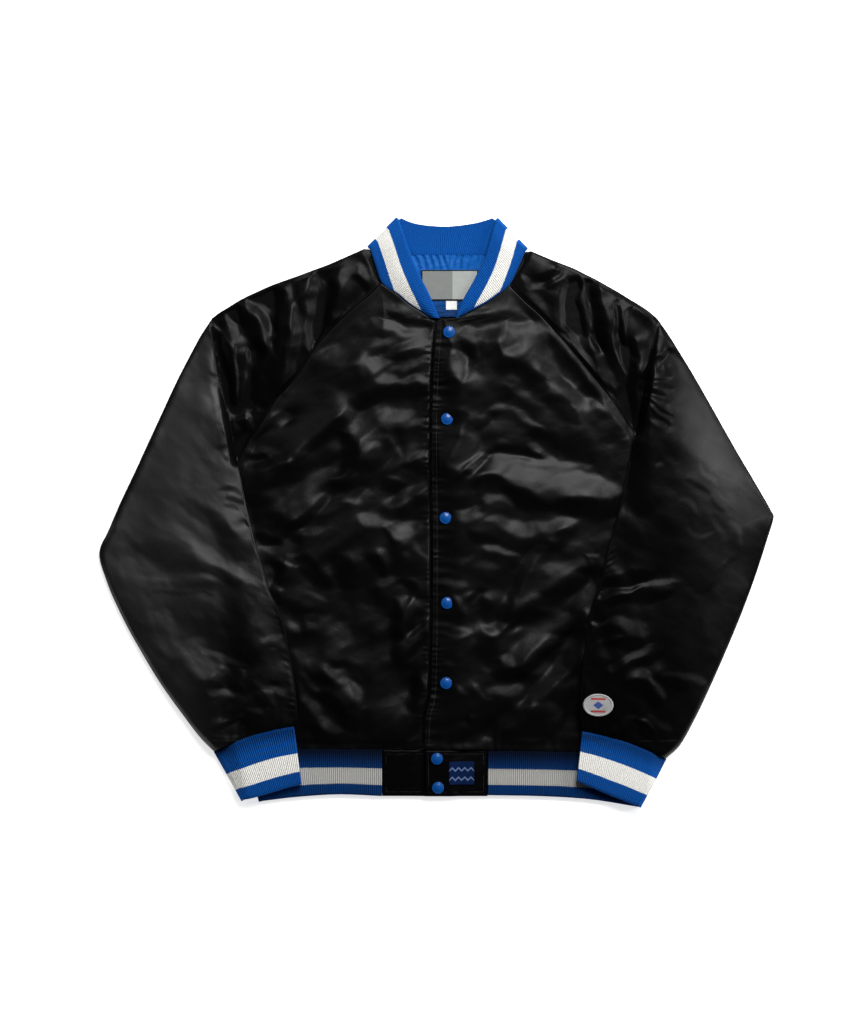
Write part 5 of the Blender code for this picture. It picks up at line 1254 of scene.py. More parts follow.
def make_collar(look):
    """The collar: a band round the neck, whose back inner face shows between its fronts."""
    left, back, right = (off_the_seam(rows) for rows in (COLLAR_LEFT, COLLAR_BACK, COLLAR_RIGHT))

    def bare(x, y):
        low, high = (
            column({"x": rows["edge_x"], "y": rows["edge_y"]}, y) for rows in (COLLAR_LEFT, COLLAR_RIGHT)
        )
        return smooth((x - low - 1.0) / 3.0) * smooth((high - 1.0 - x) / 3.0)

    runs = [left, reversed_rows(right)]
    return knit_band("collar_rib", runs, back, look, level, collar_lift, collar_stripe, bare)


def with_seam_y(rows):
    """Hem rows with their seam on the hem line."""
    return {**rows, "seam_y": HEM_Y + HEM_TILT * rows["seam_x"]}


def make_hem(look):
    """The hem rib: a band from block to block, folded at both sides of the body."""
    left, back, right = (off_the_seam(with_seam_y(rows)) for rows in (HEM_LEFT, HEM_BACK, HEM_RIGHT))
    runs = [left, reversed_rows(right)]
    return knit_band("hem_rib", runs, back, look, level, level, stripe_by_share(0.41, 0.76))


def make_cuff(side_name, rows, arm, low, high, look):
    """A cuff sewn to the last section of its sleeve, with its stripe between two shares."""
    share = rows["share"]
    start_x, start_y = arm["in_x"][-1], arm["in_y"][-1]
    bow = arm["bow"][-1] * 4.0 * share * (1.0 - share)
    rows = off_the_seam({
        "seam_x": start_x + (arm["out_x"][-1] - start_x) * share,
        "seam_y": start_y + (arm["out_y"][-1] - start_y) * share + bow,
        "edge_x": rows["edge_x"],
        "edge_y": rows["edge_y"],
    })

    def rest(x, y):
        return rest_height(x, y, side_name)

    stripe = stripe_by_share(low, high)
    return knit_band("cuff_" + side_name, [rows], reversed_rows(rows), look, rest, level, stripe)


# ---------------------------------------------------------------- blocks, welts and trim


def block_top(x, y):
    """Height of the right hem block's top."""
    return KNIT_WALL + LAY_GAP + (UNDERLAP_WALL + LAY_GAP) * right_lap(x, HEM_Y + 0.0 * x) + BLOCK_WALL


def make_block(side_name, x0, x1, look):
    """A satin block at the end of the hem band: z = base + a padded wall with rolled edges.

    A row of stitches presses the wall down 5.5 mm from its edges. The left block is thin
    where the right one covers it, and the right one is raised there.
    """
    x, share = np.meshgrid(x0 + SEAM_GAP + (x1 - x0 - 2.0 * SEAM_GAP) * eased(64), eased(52))
    bottom = np.interp(x, [BLOCK_LEFT_X, BLOCK_RIGHT_X], [BLOCK_BOTTOM_LEFT_Y, BLOCK_BOTTOM_RIGHT_Y])
    seam = HEM_Y + HEM_TILT * x - SEAM_GAP
    y = bottom + (seam - bottom) * share
    low = KNIT_WALL + LAY_GAP + 0.0 * x
    ends = least(x - x0, x1 - x, y - bottom, seam - y)
    stitched = -0.25 * np.exp(-(((ends - 5.5) / 1.0) ** 2))
    rough = 0.5 * crumple(x, y, 15.0, 20.0, 1.5, 101 if side_name == "left" else 103) * away_from_snaps(x, y)
    wall = BLOCK_WALL * rounded((ends + 0.4) / 4.0) + (stitched + rough) * smooth(ends / 4.0)
    if side_name == "left":
        covered = smooth((x - FRONT_EDGE["x"][-1] + STEP_RUN) / (STEP_RUN - STEP_CLEAR / 2))
        high = low + 0.8 + (wall - 0.8) * (1.0 - covered) + (UNDERLAP_WALL - 1.2) * covered
    else:
        low = KNIT_WALL + LAY_GAP + (UNDERLAP_WALL + LAY_GAP) * right_lap(x, HEM_Y + 0.0 * x)
        high = low + np.maximum(wall, 0.8)
    points, faces = closed_sheet(xyz(x, y, high), thinned(xyz(x, y, low), 8, 16))
    name = "hem_block_" + side_name
    return make_piece(name + "_pad", points, faces, look, [name])


def make_welt(side_name, corner, outward, look):
    """A slanted strip on the front: z = the front's top + a thin wall with rolled edges."""
    down, across = np.meshgrid(WELT_LENGTH * eased(100), WELT_WIDTH * eased(20), indexing="ij")
    x = corner[0] + outward * (across + WELT_SLANT * down)
    y = corner[1] - down
    low = front_top(x, y, side_name) + WELT_LIFT
    ends = least(across, WELT_WIDTH - across, down, WELT_LENGTH - down)
    wall = 0.25 + (WELT_WALL - 0.25) * smooth(ends / 7.0)
    points, faces = closed_sheet(layer(x, y, low + wall), layer(x, y, low))
    name = "pocket_welt_" + side_name
    return make_piece(name + "_strip", points, faces, look, [name])


def lining_top(x, y):
    """Height of the lining's crinkles: gathers that fan down from the back neck seam."""
    label_top = NECK_LABEL[1] + NECK_LABEL[3]
    near = np.clip((y - label_top + 6.0) / (NECK_BACK_Y - label_top), 0.0, 1.0)
    skew = 0.35 * (NECK_BACK_Y - y) * np.sign(x - 15.0)
    wave = np.sin(2.0 * math.pi * (x + skew) / 9.0 + 1.6 * noise(x, y, 17.0, 121))
    return 0.9 * near * wave + 0.75 * crumple(x, y, 9.0, 30.0, 1.6, 123) + 0.9


def make_lining(look):
    """The lining that shows in the neck: z = back + gathers, out to under the collar."""
    middles = [
        {axis: rows["seam_" + axis] + 0.5 * (rows["edge_" + axis] - rows["seam_" + axis]) for axis in "xy"}
        for rows in (COLLAR_LEFT, COLLAR_RIGHT)
    ]
    x, y = panel(*middles, NECK_LEFT["y"][0] + 2.0, NECK_BACK_Y + 2.0, 0.9, 130, 0.0)
    low = BACK_WALL + TRIM_LIFT
    upper = xyz(x, y, low + 0.8 + np.maximum(lining_top(x, y), 0.0))
    points, faces = closed_sheet(upper, thinned(xyz(x, y, np.full(x.shape, low)), 12, 12))
    return make_piece("neck_lining_panel", points, faces, look, ["lining_neck"])


def pressed_lining(x, y):
    """Height of the lining where a label presses it nearly flat."""
    return BACK_WALL + TRIM_LIFT + 2.9 + 0.25 * crumple(x, y, 16.0, 20.0, 1.5, 131)


def make_flat_label(name, node, place, surface, look):
    """A woven label: z = what it lies on + a thin wall, rolled down at its edges."""
    x0, y0, width, height = place
    columns, rows = max(12, int(width / 0.7)), max(12, int(height / 0.7))
    x, y = np.meshgrid(np.linspace(x0, x0 + width, columns), np.linspace(y0, y0 + height, rows))
    ends = least(x - x0, x0 + width - x, y - y0, y0 + height - y)
    low = surface(x, y) + TRIM_LIFT
    high = low + LABEL_WALL * (0.5 + 0.5 * rounded(ends + 0.2))
    points, faces = closed_sheet(xyz(x, y, high), xyz(x, y, low))
    from_edge = np.append(ends, ends)
    uv = np.tile(np.stack([x - x0, y - y0], axis=2).reshape(-1, 2), (2, 1))
    return make_piece(name, points, faces, look, [node], {"from_edge": from_edge}, uv)


def disc(profile, sides, centre):
    """Points and faces of a profile of radii and heights, turned about a point's vertical."""
    angle = np.linspace(0.0, 2.0 * math.pi, sides, endpoint=False)
    radius, height = np.array(profile, float).T
    x = centre[0] + radius[:, None] * np.cos(angle)
    y = centre[1] + radius[:, None] * np.sin(angle)
    z = centre[2] + np.repeat(height[:, None], sides, axis=1)
    points = np.stack([x, y, z], axis=2).reshape(-1, 3)
    index = np.arange(len(points)).reshape(len(profile), sides)
    closed = np.concatenate([index, index[:, :1]], axis=1)
    faces = quads(closed).tolist() + [index[0, ::-1].tolist(), index[-1].tolist()]
    return points, faces


def make_snap(number, x, y, look):
    """A turned cap: a domed face within a rolled rim."""
    place = np.array([x]), np.array([y])
    surface = float((front_top(*place, "right") if y > HEM_Y else block_top(*place))[0])
    r, h = SNAP_RADIUS, SNAP_HEIGHT
    rim = np.radians(np.linspace(-60.0, 110.0, 12))
    profile = [(0.3, 0.0), (r - 1.3, 0.0)]
    profile += [(r - 0.9 + 0.9 * math.cos(a), 1.1 + 0.95 * math.sin(a)) for a in rim]
    profile += [(r - 1.6, h - 1.35), (r - 2.0, h - 1.2)]
    share = np.linspace(0.85, 0.04, 9)
    profile += [((r - 2.0) * s, h - 1.2 + 1.2 * (1.0 - s * s)) for s in share]
    points, faces = disc(profile, 48, (x, y, surface + 0.05))
    nodes = [f"snap_{number}"]
    return make_piece(f"snap_cap_{number}", points, faces, look, nodes, sharp=40.0)


def patch_shape(x, y):
    """How far out on the patch's oval a point is: 0 in its middle and 1 on its edge."""
    return np.hypot((x - PATCH_CENTRE[0]) / PATCH_HALF[0], (y - PATCH_CENTRE[1]) / PATCH_HALF[1])


def sleeve_top_at(obj, x, y):
    """Heights of a made piece's top under points, by rays cast straight down."""
    graph = bpy.context.evaluated_depsgraph_get()
    seen = obj.evaluated_get(graph)
    heights = []
    for px, py in zip(np.ravel(x), np.ravel(y)):
        hit, place, _, _ = seen.ray_cast(Vector((px * MM, py * MM, 0.2)), Vector((0.0, 0.0, -1.0)))
        heights.append(place.z / MM if hit else 0.0)
    return np.array(heights).reshape(np.shape(x))


def make_patch(sleeve_obj, look):
    """An oval patch with an overlocked rim: a square grid drawn out to an oval.

    z = the sleeve's top + a wall + a rim, which is half a circle 1.2 mm from the edge.
    """
    count = 49
    u, v = np.meshgrid(np.linspace(-1.0, 1.0, count), np.linspace(-1.0, 1.0, count))
    x = PATCH_CENTRE[0] + PATCH_HALF[0] * u * np.sqrt(1.0 - v * v / 2.0)
    y = PATCH_CENTRE[1] + PATCH_HALF[1] * v * np.sqrt(1.0 - u * u / 2.0)
    coarse = sleeve_top_at(sleeve_obj, x[::4, ::4], y[::4, ::4])
    rows = np.linspace(0.0, coarse.shape[0] - 1.0, count)
    i = np.minimum(rows.astype(int), coarse.shape[0] - 2)
    a = rows - i
    down = coarse[i] * (1 - a)[:, None] + coarse[i + 1] * a[:, None]
    ground = down[:, i] * (1 - a) + down[:, i + 1] * a
    from_edge = (1.0 - patch_shape(x, y)) * 0.5 * sum(PATCH_HALF)
    rim = np.sqrt(np.clip(1.0 - ((from_edge - 1.2) / 1.25) ** 2, 0.0, 1.0))
    low = ground + 0.5
    high = low + 1.1 + 0.7 * rim - 0.6 * (1.0 - rounded((from_edge + 0.1) / 0.9))
    points, faces = closed_sheet(xyz(x, y, high), xyz(x, y, low))
    values = {"from_edge": np.append(from_edge, from_edge)}
    uv = np.tile(np.stack([x - PATCH_CENTRE[0], y - PATCH_CENTRE[1]], axis=2).reshape(-1, 2), (2, 1))
    return make_piece("sleeve_patch_oval", points, faces, look, ["sleeve_patch"], values, uv)


def make_stitches(name, x, y, z, radius, share, look):
    """Short threads along a line: each a six-sided bar, lowered at both ends."""
    steps = np.sqrt(np.diff(x) ** 2 + np.diff(y) ** 2 + np.diff(z) ** 2)
    length = np.concatenate([[0.0], np.cumsum(steps)])
    starts = np.arange(0.0, length[-1] - STITCH_PITCH, STITCH_PITCH)
    at = starts[:, None] + STITCH_PITCH * np.array([0.02, 0.25, 0.5 * share + 0.25, share])[None, :]
    centre = xyz(*(np.interp(at, length, values) for values in (x, y, z)))
    along_line = centre[:, -1] - centre[:, 0]
    along_line = along_line / np.linalg.norm(along_line, axis=1, keepdims=True)
    side = np.cross(along_line, [0.0, 0.0, 1.0])
    side = side / np.linalg.norm(side, axis=1, keepdims=True)
    angle = np.radians(np.arange(0.0, 360.0, 60.0))
    swell = radius * np.array([0.35, 1.0, 1.0, 0.35])
    ring = (
        centre[:, :, None, :]
        + side[:, None, None, :] * (swell[:, None] * np.cos(angle))[None, :, :, None]
        + np.array([0.0, 0.0, 1.0]) * (swell[:, None] * np.sin(angle))[None, :, :, None]
    )
    ring[:, (0, -1), :, 2] -= 0.55 * radius
    index = np.arange(len(starts) * 24).reshape(-1, 4, 6)
    wrapped = np.concatenate([index, index[:, :, :1]], axis=2)
    corners = (wrapped[:, :-1, :-1], wrapped[:, :-1, 1:], wrapped[:, 1:, 1:], wrapped[:, 1:, :-1])
    faces = np.stack(corners, axis=3).reshape(-1, 4).tolist()
    faces += index[:, 0, ::-1].tolist() + index[:, -1].tolist()
    return make_piece(name, ring.reshape(-1, 3), faces, look, (), sharp=80.0)


# ---------------------------------------------------------------- materials


def node(tree, kind, settings=None, **links):
    """Adds a node: settings are its own values, links its inputs' values or sockets.

    An input is named by its label or, as i0, i1 and so on, by its place.
    """
    made = tree.nodes.new(kind)
    for key, value in (settings or {}).items():
        setattr(made, key, value)
    for key, value in links.items():
        place = int(key[1:]) if key[1:].isdigit() else key.replace("_", " ")
        socket = made.inputs[place]
        if isinstance(value, bpy.types.NodeSocket):
            tree.links.new(value, socket)
        else:
            socket.default_value = value
    return made


def start(name, **shader):
    """A material with its shader, whose plain values are set on the shader's own sockets."""
    made = bpy.data.materials.new(name)
    made.use_nodes = True
    tree = made.node_tree
    tree.nodes.clear()
    bsdf = node(tree, "ShaderNodeBsdfPrincipled", None, **shader)
    node(tree, "ShaderNodeOutputMaterial", None, Surface=bsdf.outputs["BSDF"])
    return made, tree, bsdf


def rgba(colour, share=1.0):
    return tuple(min(c * share, 1.4) for c in colour) + (1.0,)


def math_of(tree, operation, a, b=0.0, c=0.0):
    return node(tree, "ShaderNodeMath", {"operation": operation}, i0=a, i1=b, i2=c).outputs[0]


def mixed(tree, factor, a, b, blend="MIX"):
    settings = {"data_type": "RGBA", "blend_type": blend}
    return node(tree, "ShaderNodeMix", settings, i0=factor, i6=a, i7=b).outputs[2]


def ranged(tree, value, low, high, to_low=0.0, to_high=1.0, ease="LINEAR"):
    """The place of a value between low and high, as one between two other numbers."""
    return node(
        tree, "ShaderNodeMapRange", {"interpolation_type": ease},
        Value=value, From_Min=low, From_Max=high, To_Min=to_low, To_Max=to_high,
    ).outputs["Result"]


def noise_of(tree, place, scale, detail, **more):
    return node(tree, "ShaderNodeTexNoise", None, Vector=place, Scale=scale, Detail=detail, **more).outputs[0]


def bump(tree, height, distance, strength=1.0, **onto):
    return node(tree, "ShaderNodeBump", None, Height=height, Distance=distance, Strength=strength, **onto).outputs[0]


def object_place(tree):
    return node(tree, "ShaderNodeTexCoord").outputs["Object"]


def cloth_place(tree):
    """The piece's own UV, in millimetres: whole, its first part and its second."""
    place = node(tree, "ShaderNodeUVMap", {"uv_map": "cloth"}).outputs[0]
    parts = node(tree, "ShaderNodeSeparateXYZ", None, Vector=place).outputs
    return place, parts[0], parts[1]


def attribute(tree, name):
    return node(tree, "ShaderNodeAttribute", {"attribute_name": name}).outputs["Fac"]


def waves(tree, value, pitch):
    """A value turned into an angle that goes round once every pitch."""
    return math_of(tree, "MULTIPLY", value, 2.0 * math.pi / pitch)


def dressed(made, tree, bsdf, colour, normal=None):
    """The material with its colour and its bumps. A colour that is even isn't linked."""
    if isinstance(colour, bpy.types.NodeSocket):
        tree.links.new(colour, bsdf.inputs["Base Color"])
    else:
        bsdf.inputs["Base Color"].default_value = colour
    if normal is not None:
        tree.links.new(normal, bsdf.inputs["Normal"])
    return made


def satin(name, colour, rough, shine):
    """Satin, woven with long floats: a soft sheen on near-black cloth.

    Fine creases and the weave's faint lines come from the bump. The weave is drawn at
    1.2 mm, several threads wide, because one thread is too fine to show. Where the rub
    attribute is high, wear has flattened the floats, so the sheen is wider and stronger.
    """
    made, tree, bsdf = start(name, Roughness=rough, Specular_IOR_Level=shine, IOR=1.45)
    place = object_place(tree)
    lines = node(tree, "ShaderNodeMapping", None, Vector=place, Rotation=(0.0, 0.0, 0.5), Scale=(1.0, 0.12, 1.0))
    weave = noise_of(tree, lines.outputs[0], 830.0, 1.0)
    crush = noise_of(tree, place, 70.0, 3.0, Roughness=0.5, Distortion=0.8)
    soft = noise_of(tree, place, 22.0, 2.0)
    worn = ranged(tree, soft, 0.3, 0.7, rough - 0.03, rough + 0.04)
    rub = attribute(tree, "rub")
    tree.links.new(math_of(tree, "MULTIPLY_ADD", rub, 0.15, worn), bsdf.inputs["Roughness"])
    tree.links.new(math_of(tree, "MULTIPLY_ADD", rub, 0.3, shine), bsdf.inputs["Specular IOR Level"])
    tone = mixed(tree, soft, rgba(colour, 0.75), rgba(colour, 1.2))
    return dressed(made, tree, bsdf, tone, bump(tree, weave, 0.00012, 0.4, Normal=bump(tree, crush, 0.0011, 0.25)))


def rib_knit(name, colour, stripe, share, at_seam, reach):
    """Rib knit in polyester: matt ribs of V-shaped stitches, with fuzz between them.

    The stripe attribute holds millimetres inside the stripe, and its edge follows the stitches. The stitches are 1.7
    mm high. The colours carry painted shade in the grooves between the ribs, with random tone on top. They also
    carry painted shade: the share darkens the whole band, and where the body hangs over the knit at its seam they
    start at a further share, at_seam, and rise over a reach.
    """
    made, tree, bsdf = start(name, Roughness=0.9, Specular_IOR_Level=0.06, Sheen_Weight=0.02, Sheen_Roughness=0.5)
    knit, run, deep = cloth_place(tree)
    rib = waves(tree, run, 2.5)
    lean = math_of(tree, "ABSOLUTE", math_of(tree, "SINE", math_of(tree, "MULTIPLY", rib, 0.5)))
    climb = math_of(tree, "ADD", waves(tree, deep, 1.7), math_of(tree, "MULTIPLY", lean, 3.0))
    stitch = math_of(tree, "SINE", climb)
    groove = math_of(tree, "COSINE", rib)
    ragged = math_of(tree, "MULTIPLY_ADD", stitch, 0.25, attribute(tree, "stripe"))
    inside = ranged(tree, ragged, -0.35, 0.35)
    # Painted shade: the colours are darker in the grooves between the ribs, with random tone on top.
    groove_shade_and_tone = math_of(tree, "MULTIPLY_ADD", groove, 0.16, 0.16)
    groove_shade_and_tone = math_of(tree, "MULTIPLY_ADD", noise_of(tree, knit, 1.4, 2.0), 0.2, groove_shade_and_tone)
    blue = mixed(tree, groove_shade_and_tone, rgba(colour, 1.1), rgba(colour, 0.35))
    pale = mixed(tree, groove_shade_and_tone, rgba(stripe, 1.0), rgba(stripe, 0.6))
    # Painted shade: darker at the seam, where the body hangs over the knit, and darker over the whole band by its
    # share.
    shade = ranged(tree, deep, 0.0, reach, share * at_seam, share, "SMOOTHSTEP")
    cloth = mixed(tree, 1.0, mixed(tree, inside, blue, pale), shade, "MULTIPLY")
    height = math_of(tree, "MULTIPLY_ADD", groove, -0.5, math_of(tree, "MULTIPLY", stitch, 0.4))
    return dressed(made, tree, bsdf, cloth, bump(tree, height, 0.0004, 0.6))


def lining_cloth(colour):
    """Taffeta lining: bright, thin and crisp, with a light sheen on its small puckers, partly painted as highlight
    in its colour.
    """
    made, tree, bsdf = start("taffeta_lining", Roughness=0.5, Specular_IOR_Level=0.1)
    place = object_place(tree)
    crush = noise_of(tree, place, 160.0, 3.0, Distortion=1.0)
    up = node(tree, "ShaderNodeSeparateXYZ", None, Vector=place).outputs[1]
    # Low in the neck the lining lies in the fronts' shade.
    deep = ranged(tree, up, 0.255, 0.295, 0.35, 1.0)
    # The colour follows the crinkles' height, as the bump does: painted highlight on their tops and painted shade in
    # their hollows.
    tone = mixed(tree, crush, rgba(colour, 0.72), rgba(colour, 1.15))
    tone = mixed(tree, deep, (0.0, 0.0, 0.0, 1.0), tone)
    return dressed(made, tree, bsdf, tone, bump(tree, crush, 0.0006, 0.6))


def woven_label(name, colour, border=None, width=(), tones=None, figure=None):
    """Damask label: fine cross ribs of 0.8 mm, and a border that may have another colour.

    Width is how far the border begins and ends from the edge. Tones are where the ground
    changes and its share of the colour before and after. A figure is two zigzag lines, of
    8 mm waves, woven across the middle.
    """
    made, tree, bsdf = start(name, Roughness=0.7, Specular_IOR_Level=0.03)
    _, across, up = cloth_place(tree)
    cloth = rgba(colour)
    if tones:
        at, from_share, to_share = tones
        split = ranged(tree, across, at - 0.4, at + 0.4)
        cloth = mixed(tree, split, rgba(colour, from_share), rgba(colour, to_share))
    if figure:
        wave = math_of(tree, "PINGPONG", across, 4.0)
        lines = []
        for low in (5.5, 17.5):
            off = math_of(tree, "SUBTRACT", math_of(tree, "SUBTRACT", up, low), wave)
            lines.append(ranged(tree, math_of(tree, "ABSOLUTE", off), 1.3, 0.9))
        cloth = mixed(tree, math_of(tree, "MAXIMUM", *lines), cloth, rgba(figure))
    if border:
        edge = attribute(tree, "from_edge")
        inner, outer = (ranged(tree, edge, at - 0.2, at + 0.2) for at in width)
        cloth = mixed(tree, math_of(tree, "SUBTRACT", inner, outer), cloth, rgba(border))
    rib = math_of(tree, "SINE", waves(tree, up, 0.8))
    return dressed(made, tree, bsdf, cloth, bump(tree, rib, 0.00012, 0.5))


def enamel(name, colour):
    """Baked enamel on a pressed brass cap: a hard gloss coat over a deep colour."""
    made, tree, bsdf = start(name, Roughness=0.35, Specular_IOR_Level=0.15, Coat_Weight=0.3, Coat_Roughness=0.12)
    wear = noise_of(tree, object_place(tree), 420.0, 2.0)
    tone = mixed(tree, wear, rgba(colour, 0.85), rgba(colour, 1.1))
    return dressed(made, tree, bsdf, tone, bump(tree, wear, 0.00005, 0.3))


def embroidery(ground, red, blue):
    """Thread work on twill: a blue diamond between two red bars, in a white overlocked rim.

    Rows of thread are 0.9 mm wide. The motif is a plain one of its own.
    """
    made, tree, bsdf = start("embroidered_patch", Roughness=0.7, Specular_IOR_Level=0.3, Sheen_Weight=0.2)
    _, across, up = cloth_place(tree)
    wide, high = math_of(tree, "ABSOLUTE", across), math_of(tree, "ABSOLUTE", up)
    diamond = math_of(tree, "ADD", math_of(tree, "MULTIPLY", wide, 0.8), high)
    off_bar = math_of(tree, "ABSOLUTE", math_of(tree, "SUBTRACT", high, 8.0))
    on_bar = math_of(tree, "MULTIPLY", ranged(tree, off_bar, 1.5, 1.2), ranged(tree, wide, 9.4, 9.0))
    slanted = math_of(tree, "ADD", across, math_of(tree, "MULTIPLY", up, 0.4))
    rows = math_of(tree, "SINE", waves(tree, slanted, 0.9))
    cloth = mixed(tree, on_bar, rgba(ground), rgba(red))
    cloth = mixed(tree, ranged(tree, diamond, 5.4, 5.0), cloth, rgba(blue))
    cloth = mixed(tree, ranged(tree, attribute(tree, "from_edge"), 2.3, 2.6), rgba(ground), cloth)
    # Painted shade between the rows of thread: the colour is darker where the rows' bump is low.
    cloth = mixed(tree, 1.0, cloth, ranged(tree, rows, -1.0, 1.0, 0.75, 1.0), "MULTIPLY")
    return dressed(made, tree, bsdf, cloth, bump(tree, rows, 0.0002, 0.6))


def thread(name, colour):
    """Polyester sewing thread, a little brighter than the cloth that it holds."""
    made, tree, bsdf = start(name, Roughness=0.5, Specular_IOR_Level=0.4, Sheen_Weight=0.2)
    ply = noise_of(tree, object_place(tree), 900.0, 1.0)
    return dressed(made, tree, bsdf, mixed(tree, ply, rgba(colour, 0.7), rgba(colour, 1.3)))


LOOKS = {}


def look(key):
    """A material, made once."""
    c = colours()
    border = linear("#101316")
    recipes = {
        "satin": (satin, "black_satin_weave", c.satin, 0.39, 0.15),
        # The hem blocks are cut on another grain, so they catch less of the light.
        "block_satin": (satin, "black_satin_weave_block", c.satin, 0.4, 0.05),
        # The three knit looks are lit and shaded copies of one knit. Their shares are painted shade, lowest on the
        # hem, which lies in the body's shade. The cuffs' and hem's stripes are painted lighter to keep their white.
        "collar_knit": (rib_knit, "royal_rib_knit_collar", c.rib, c.stripe, 0.95, 0.8, 8.0),
        "cuff_knit": (rib_knit, "royal_rib_knit_cuff", c.rib, [1.15 * s for s in c.stripe], 0.95, 0.4, 26.0),
        "hem_knit": (rib_knit, "royal_rib_knit_hem", c.rib, [1.35 * s for s in c.stripe], 0.41, 0.06, 32.0),
        "lining": (lining_cloth, c.lining),
        "neck": (woven_label, "damask_label_grey", c.label, border, (0.0, 1.5), (40.0, 0.6, 1.02)),
        "tab": (woven_label, "damask_tab_white", c.tab),
        "navy": (woven_label, "damask_label_navy", c.navy, c.navy, (0.5, 1.0), None, linear("#5C6C94")),
        "enamel": (enamel, "snap_enamel_gloss", c.snap),
        "patch": (embroidery, linear("#B0B1B0"), c.patch_red, c.patch_blue),
        "thread": (thread, "black_thread", linear("#060607")),
    }
    if key not in LOOKS:
        maker, *values = recipes[key]
        LOOKS[key] = maker(*values)
    return LOOKS[key]


# ---------------------------------------------------------------- operators


class JacketBody(bpy.types.Operator):
    """Build the back and both padded fronts"""

    bl_idname = "jacket.body"
    bl_label = "Body panels"

    def execute(self, context):
        back = make_back(look("satin"))
        left = make_front("left", look("satin"))
        right = make_front("right", look("satin"))
        return {"FINISHED"}


class JacketSleeves(bpy.types.Operator):
    """Build both raglan sleeves, which lie partly on the body"""

    bl_idname = "jacket.sleeves"
    bl_label = "Sleeves"

    def execute(self, context):
        left = make_sleeve("left", RAGLAN_LEFT, ARM_LEFT, look("satin"))
        right = make_sleeve("right", RAGLAN_RIGHT, ARM_RIGHT, look("satin"))
        return {"FINISHED"}


class JacketKnit(bpy.types.Operator):
    """Build the striped rib knit of collar, hem and cuffs"""

    bl_idname = "jacket.knit"
    bl_label = "Rib knit"

    def execute(self, context):
        collar = make_collar(look("collar_knit"))
        hem = make_hem(look("hem_knit"))
        left = make_cuff("left", CUFF_LEFT, ARM_LEFT, 0.46, 0.775, look("cuff_knit"))
        right = make_cuff("right", CUFF_RIGHT, ARM_RIGHT, 0.40, 0.74, look("cuff_knit"))
        return {"FINISHED"}


class JacketOpening(bpy.types.Operator):
    """Build the hem blocks, the pocket welts and the snap caps"""

    bl_idname = "jacket.opening"
    bl_label = "Blocks, welts and snaps"

    def execute(self, context):
        edge = FRONT_EDGE["x"][-1]
        make_block("left", BLOCK_LEFT_X, edge + UNDERLAP, look("block_satin"))
        make_block("right", edge, BLOCK_RIGHT_X, look("block_satin"))
        make_welt("left", WELT_LEFT, -1.0, look("satin"))
        make_welt("right", WELT_RIGHT, 1.0, look("satin"))
        for number, (x, y) in enumerate(zip(SNAPS["x"], SNAPS["y"]), start=1):
            make_snap(number, x, y, look("enamel"))
        return {"FINISHED"}


class JacketTrim(bpy.types.Operator):
    """Build the neck lining, the bare labels and the sleeve patch"""

    bl_idname = "jacket.trim"
    bl_label = "Lining, labels and patch"

    def execute(self, context):
        make_lining(look("lining"))
        for name, node_name, slot, place, surface, key in (
            ("neck_label_woven", "neck_label", "label_grey", NECK_LABEL, pressed_lining, "neck"),
            ("size_tab_woven", "size_tab", "tab_white", SIZE_TAB, lambda x, y: pressed_lining(x, y) - 1.2, "tab"),
            ("hem_label_woven", "hem_label", "label_navy", HEM_LABEL, lambda x, y: block_top(x, y) + 0.3, "navy"),
        ):
            make_flat_label(name, node_name, place, surface, look(key))
        make_patch(bpy.data.objects["sleeve_right_tube"], look("patch"))
        return {"FINISHED"}


class JacketSewing(bpy.types.Operator):
    """Lay the visible threads along the front edge and round both hem blocks"""

    bl_idname = "jacket.sewing"
    bl_label = "Sewing"

    def execute(self, context):
        y = np.linspace(HEM_Y + 6.0, NECK_RIGHT["y"][0] - 4.0, 700)
        x = column(FRONT_EDGE, y) + 6.0
        make_stitches("placket_stitches", x, y, front_top(x, y, "right") + 0.05, 0.28, 0.75, look("thread"))
        top, bottom = HEM_Y - 5.8, BLOCK_BOTTOM_LEFT_Y + 5.6
        edge = FRONT_EDGE["x"][-1]
        outer, inner = BLOCK_LEFT_X + 5.5, edge - 2.0
        self.stitch_block("left", (inner, outer, outer, inner), (top, top, bottom, bottom))
        inner, outer = edge + 5.5, BLOCK_RIGHT_X - 5.5
        self.stitch_block("right", (inner, inner, outer, outer, inner), (top, bottom, bottom, top, top))
        return {"FINISHED"}

    def stitch_block(self, side_name, corners_x, corners_y):
        """Lays stitches from corner to corner, sunk a little into the block's top."""
        corner = np.arange(len(corners_x))
        part = np.linspace(0.0, len(corners_x) - 1.0, 400)
        x, y = np.interp(part, corner, corners_x), np.interp(part, corner, corners_y)
        on_left = np.full(x.shape, KNIT_WALL + LAY_GAP + BLOCK_WALL)
        z = on_left if side_name == "left" else block_top(x, y)
        make_stitches("block_stitches_" + side_name, x, y, z - 0.3, 0.26, 0.72, look("thread"))


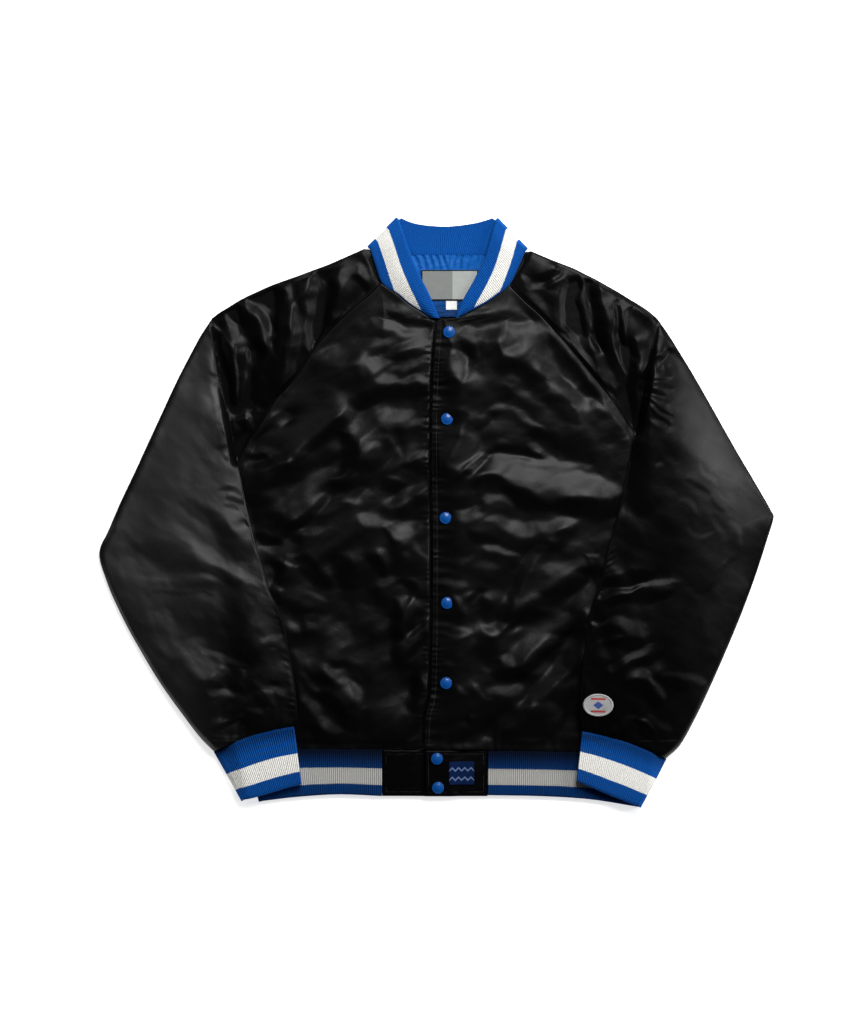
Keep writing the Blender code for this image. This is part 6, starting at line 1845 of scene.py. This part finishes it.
class JacketStage(bpy.types.Operator):
    """Set the pale floor, the soft studio light and the camera over the jacket"""

    bl_idname = "jacket.stage"
    bl_label = "Stage"

    def execute(self, context):
        scene = context.scene
        paper, tree, bsdf = start("floor_paper", Roughness=0.9, Specular_IOR_Level=0.1)
        grain = noise_of(tree, object_place(tree), 40.0, 2.0)
        dressed(paper, tree, bsdf, mixed(tree, grain, (0.9, 0.9, 0.9, 1.0), (0.93, 0.93, 0.93, 1.0)))
        bsdf.inputs["Emission Color"].default_value = (1.0, 1.0, 1.0, 1.0)
        bsdf.inputs["Emission Strength"].default_value = 0.7
        mesh = bpy.data.meshes.new("floor")
        reach, low = 6.0, -0.0002
        corners = [(-reach, -reach, low), (reach, -reach, low), (reach, reach, low), (-reach, reach, low)]
        mesh.from_pydata(corners, [], [(0, 1, 2, 3)])
        mesh.materials.append(paper)
        floor = bpy.data.objects.new("floor", mesh)
        scene.collection.objects.link(floor)

        for name, place, size, power in (
            ("key_softbox", (0.63, 1.7, 2.0), 1.3, 95.0),
            ("side_softbox", (2.3, 0.57, 1.15), 0.9, 33.0),
            ("left_softbox", (-0.95, 0.85, 1.0), 0.4, 1.0),
        ):
            light = bpy.data.lights.new(name, "AREA")
            light.shape = "SQUARE"
            light.size = size
            light.energy = power
            lamp = bpy.data.objects.new(name, light)
            lamp.location = place
            lamp.rotation_euler = (Vector((0.0, 0.0, 0.0)) - Vector(place)).to_track_quat("-Z", "Y").to_euler()
            scene.collection.objects.link(lamp)
        world = bpy.data.worlds.new("studio")
        world.use_nodes = True
        world.node_tree.nodes["Background"].inputs[0].default_value = (1.0, 1.0, 1.0, 1.0)
        world.node_tree.nodes["Background"].inputs[1].default_value = 0.04
        scene.world = world
        scene.view_settings.view_transform = "Standard"

        camera = bpy.data.cameras.new("camera")
        camera.lens = 85.0
        camera.sensor_width = 36.0
        camera.sensor_fit = "AUTO"
        holder = bpy.data.objects.new("camera", camera)
        holder.location = (-0.0128, 0.0, 3.11)
        scene.collection.objects.link(holder)
        scene.camera = holder
        return {"FINISHED"}


class JacketPanel(bpy.types.Panel):
    """Sizes, colours and steps of the jacket"""

    bl_idname = "VIEW3D_PT_jacket"
    bl_label = "Satin varsity jacket"
    bl_space_type = "VIEW_3D"
    bl_region_type = "UI"
    bl_category = "Jacket"

    def draw(self, context):
        layout = self.layout
        for group in (context.scene.jacket_sizes, context.scene.jacket_colours):
            for key in group.__annotations__:
                layout.prop(group, key)
        for step in STEPS:
            layout.operator(step.bl_idname)


STEPS = (JacketBody, JacketSleeves, JacketKnit, JacketOpening, JacketTrim, JacketSewing, JacketStage)
CLASSES = (JacketSizes, JacketColours, *STEPS, JacketPanel)


def register():
    for item in CLASSES:
        bpy.utils.register_class(item)
    bpy.types.Scene.jacket_sizes = bpy.props.PointerProperty(type=JacketSizes)
    bpy.types.Scene.jacket_colours = bpy.props.PointerProperty(type=JacketColours)


def unregister():
    del bpy.types.Scene.jacket_colours
    del bpy.types.Scene.jacket_sizes
    for item in reversed(CLASSES):
        bpy.utils.unregister_class(item)


def main():
    register()
    bpy.ops.jacket.body()
    bpy.ops.jacket.sleeves()
    bpy.ops.jacket.knit()
    bpy.ops.jacket.opening()
    bpy.ops.jacket.trim()
    bpy.ops.jacket.sewing()
    bpy.ops.jacket.stage()
    bpy.context.view_layer.update()


if __name__ == "__main__":
    main()
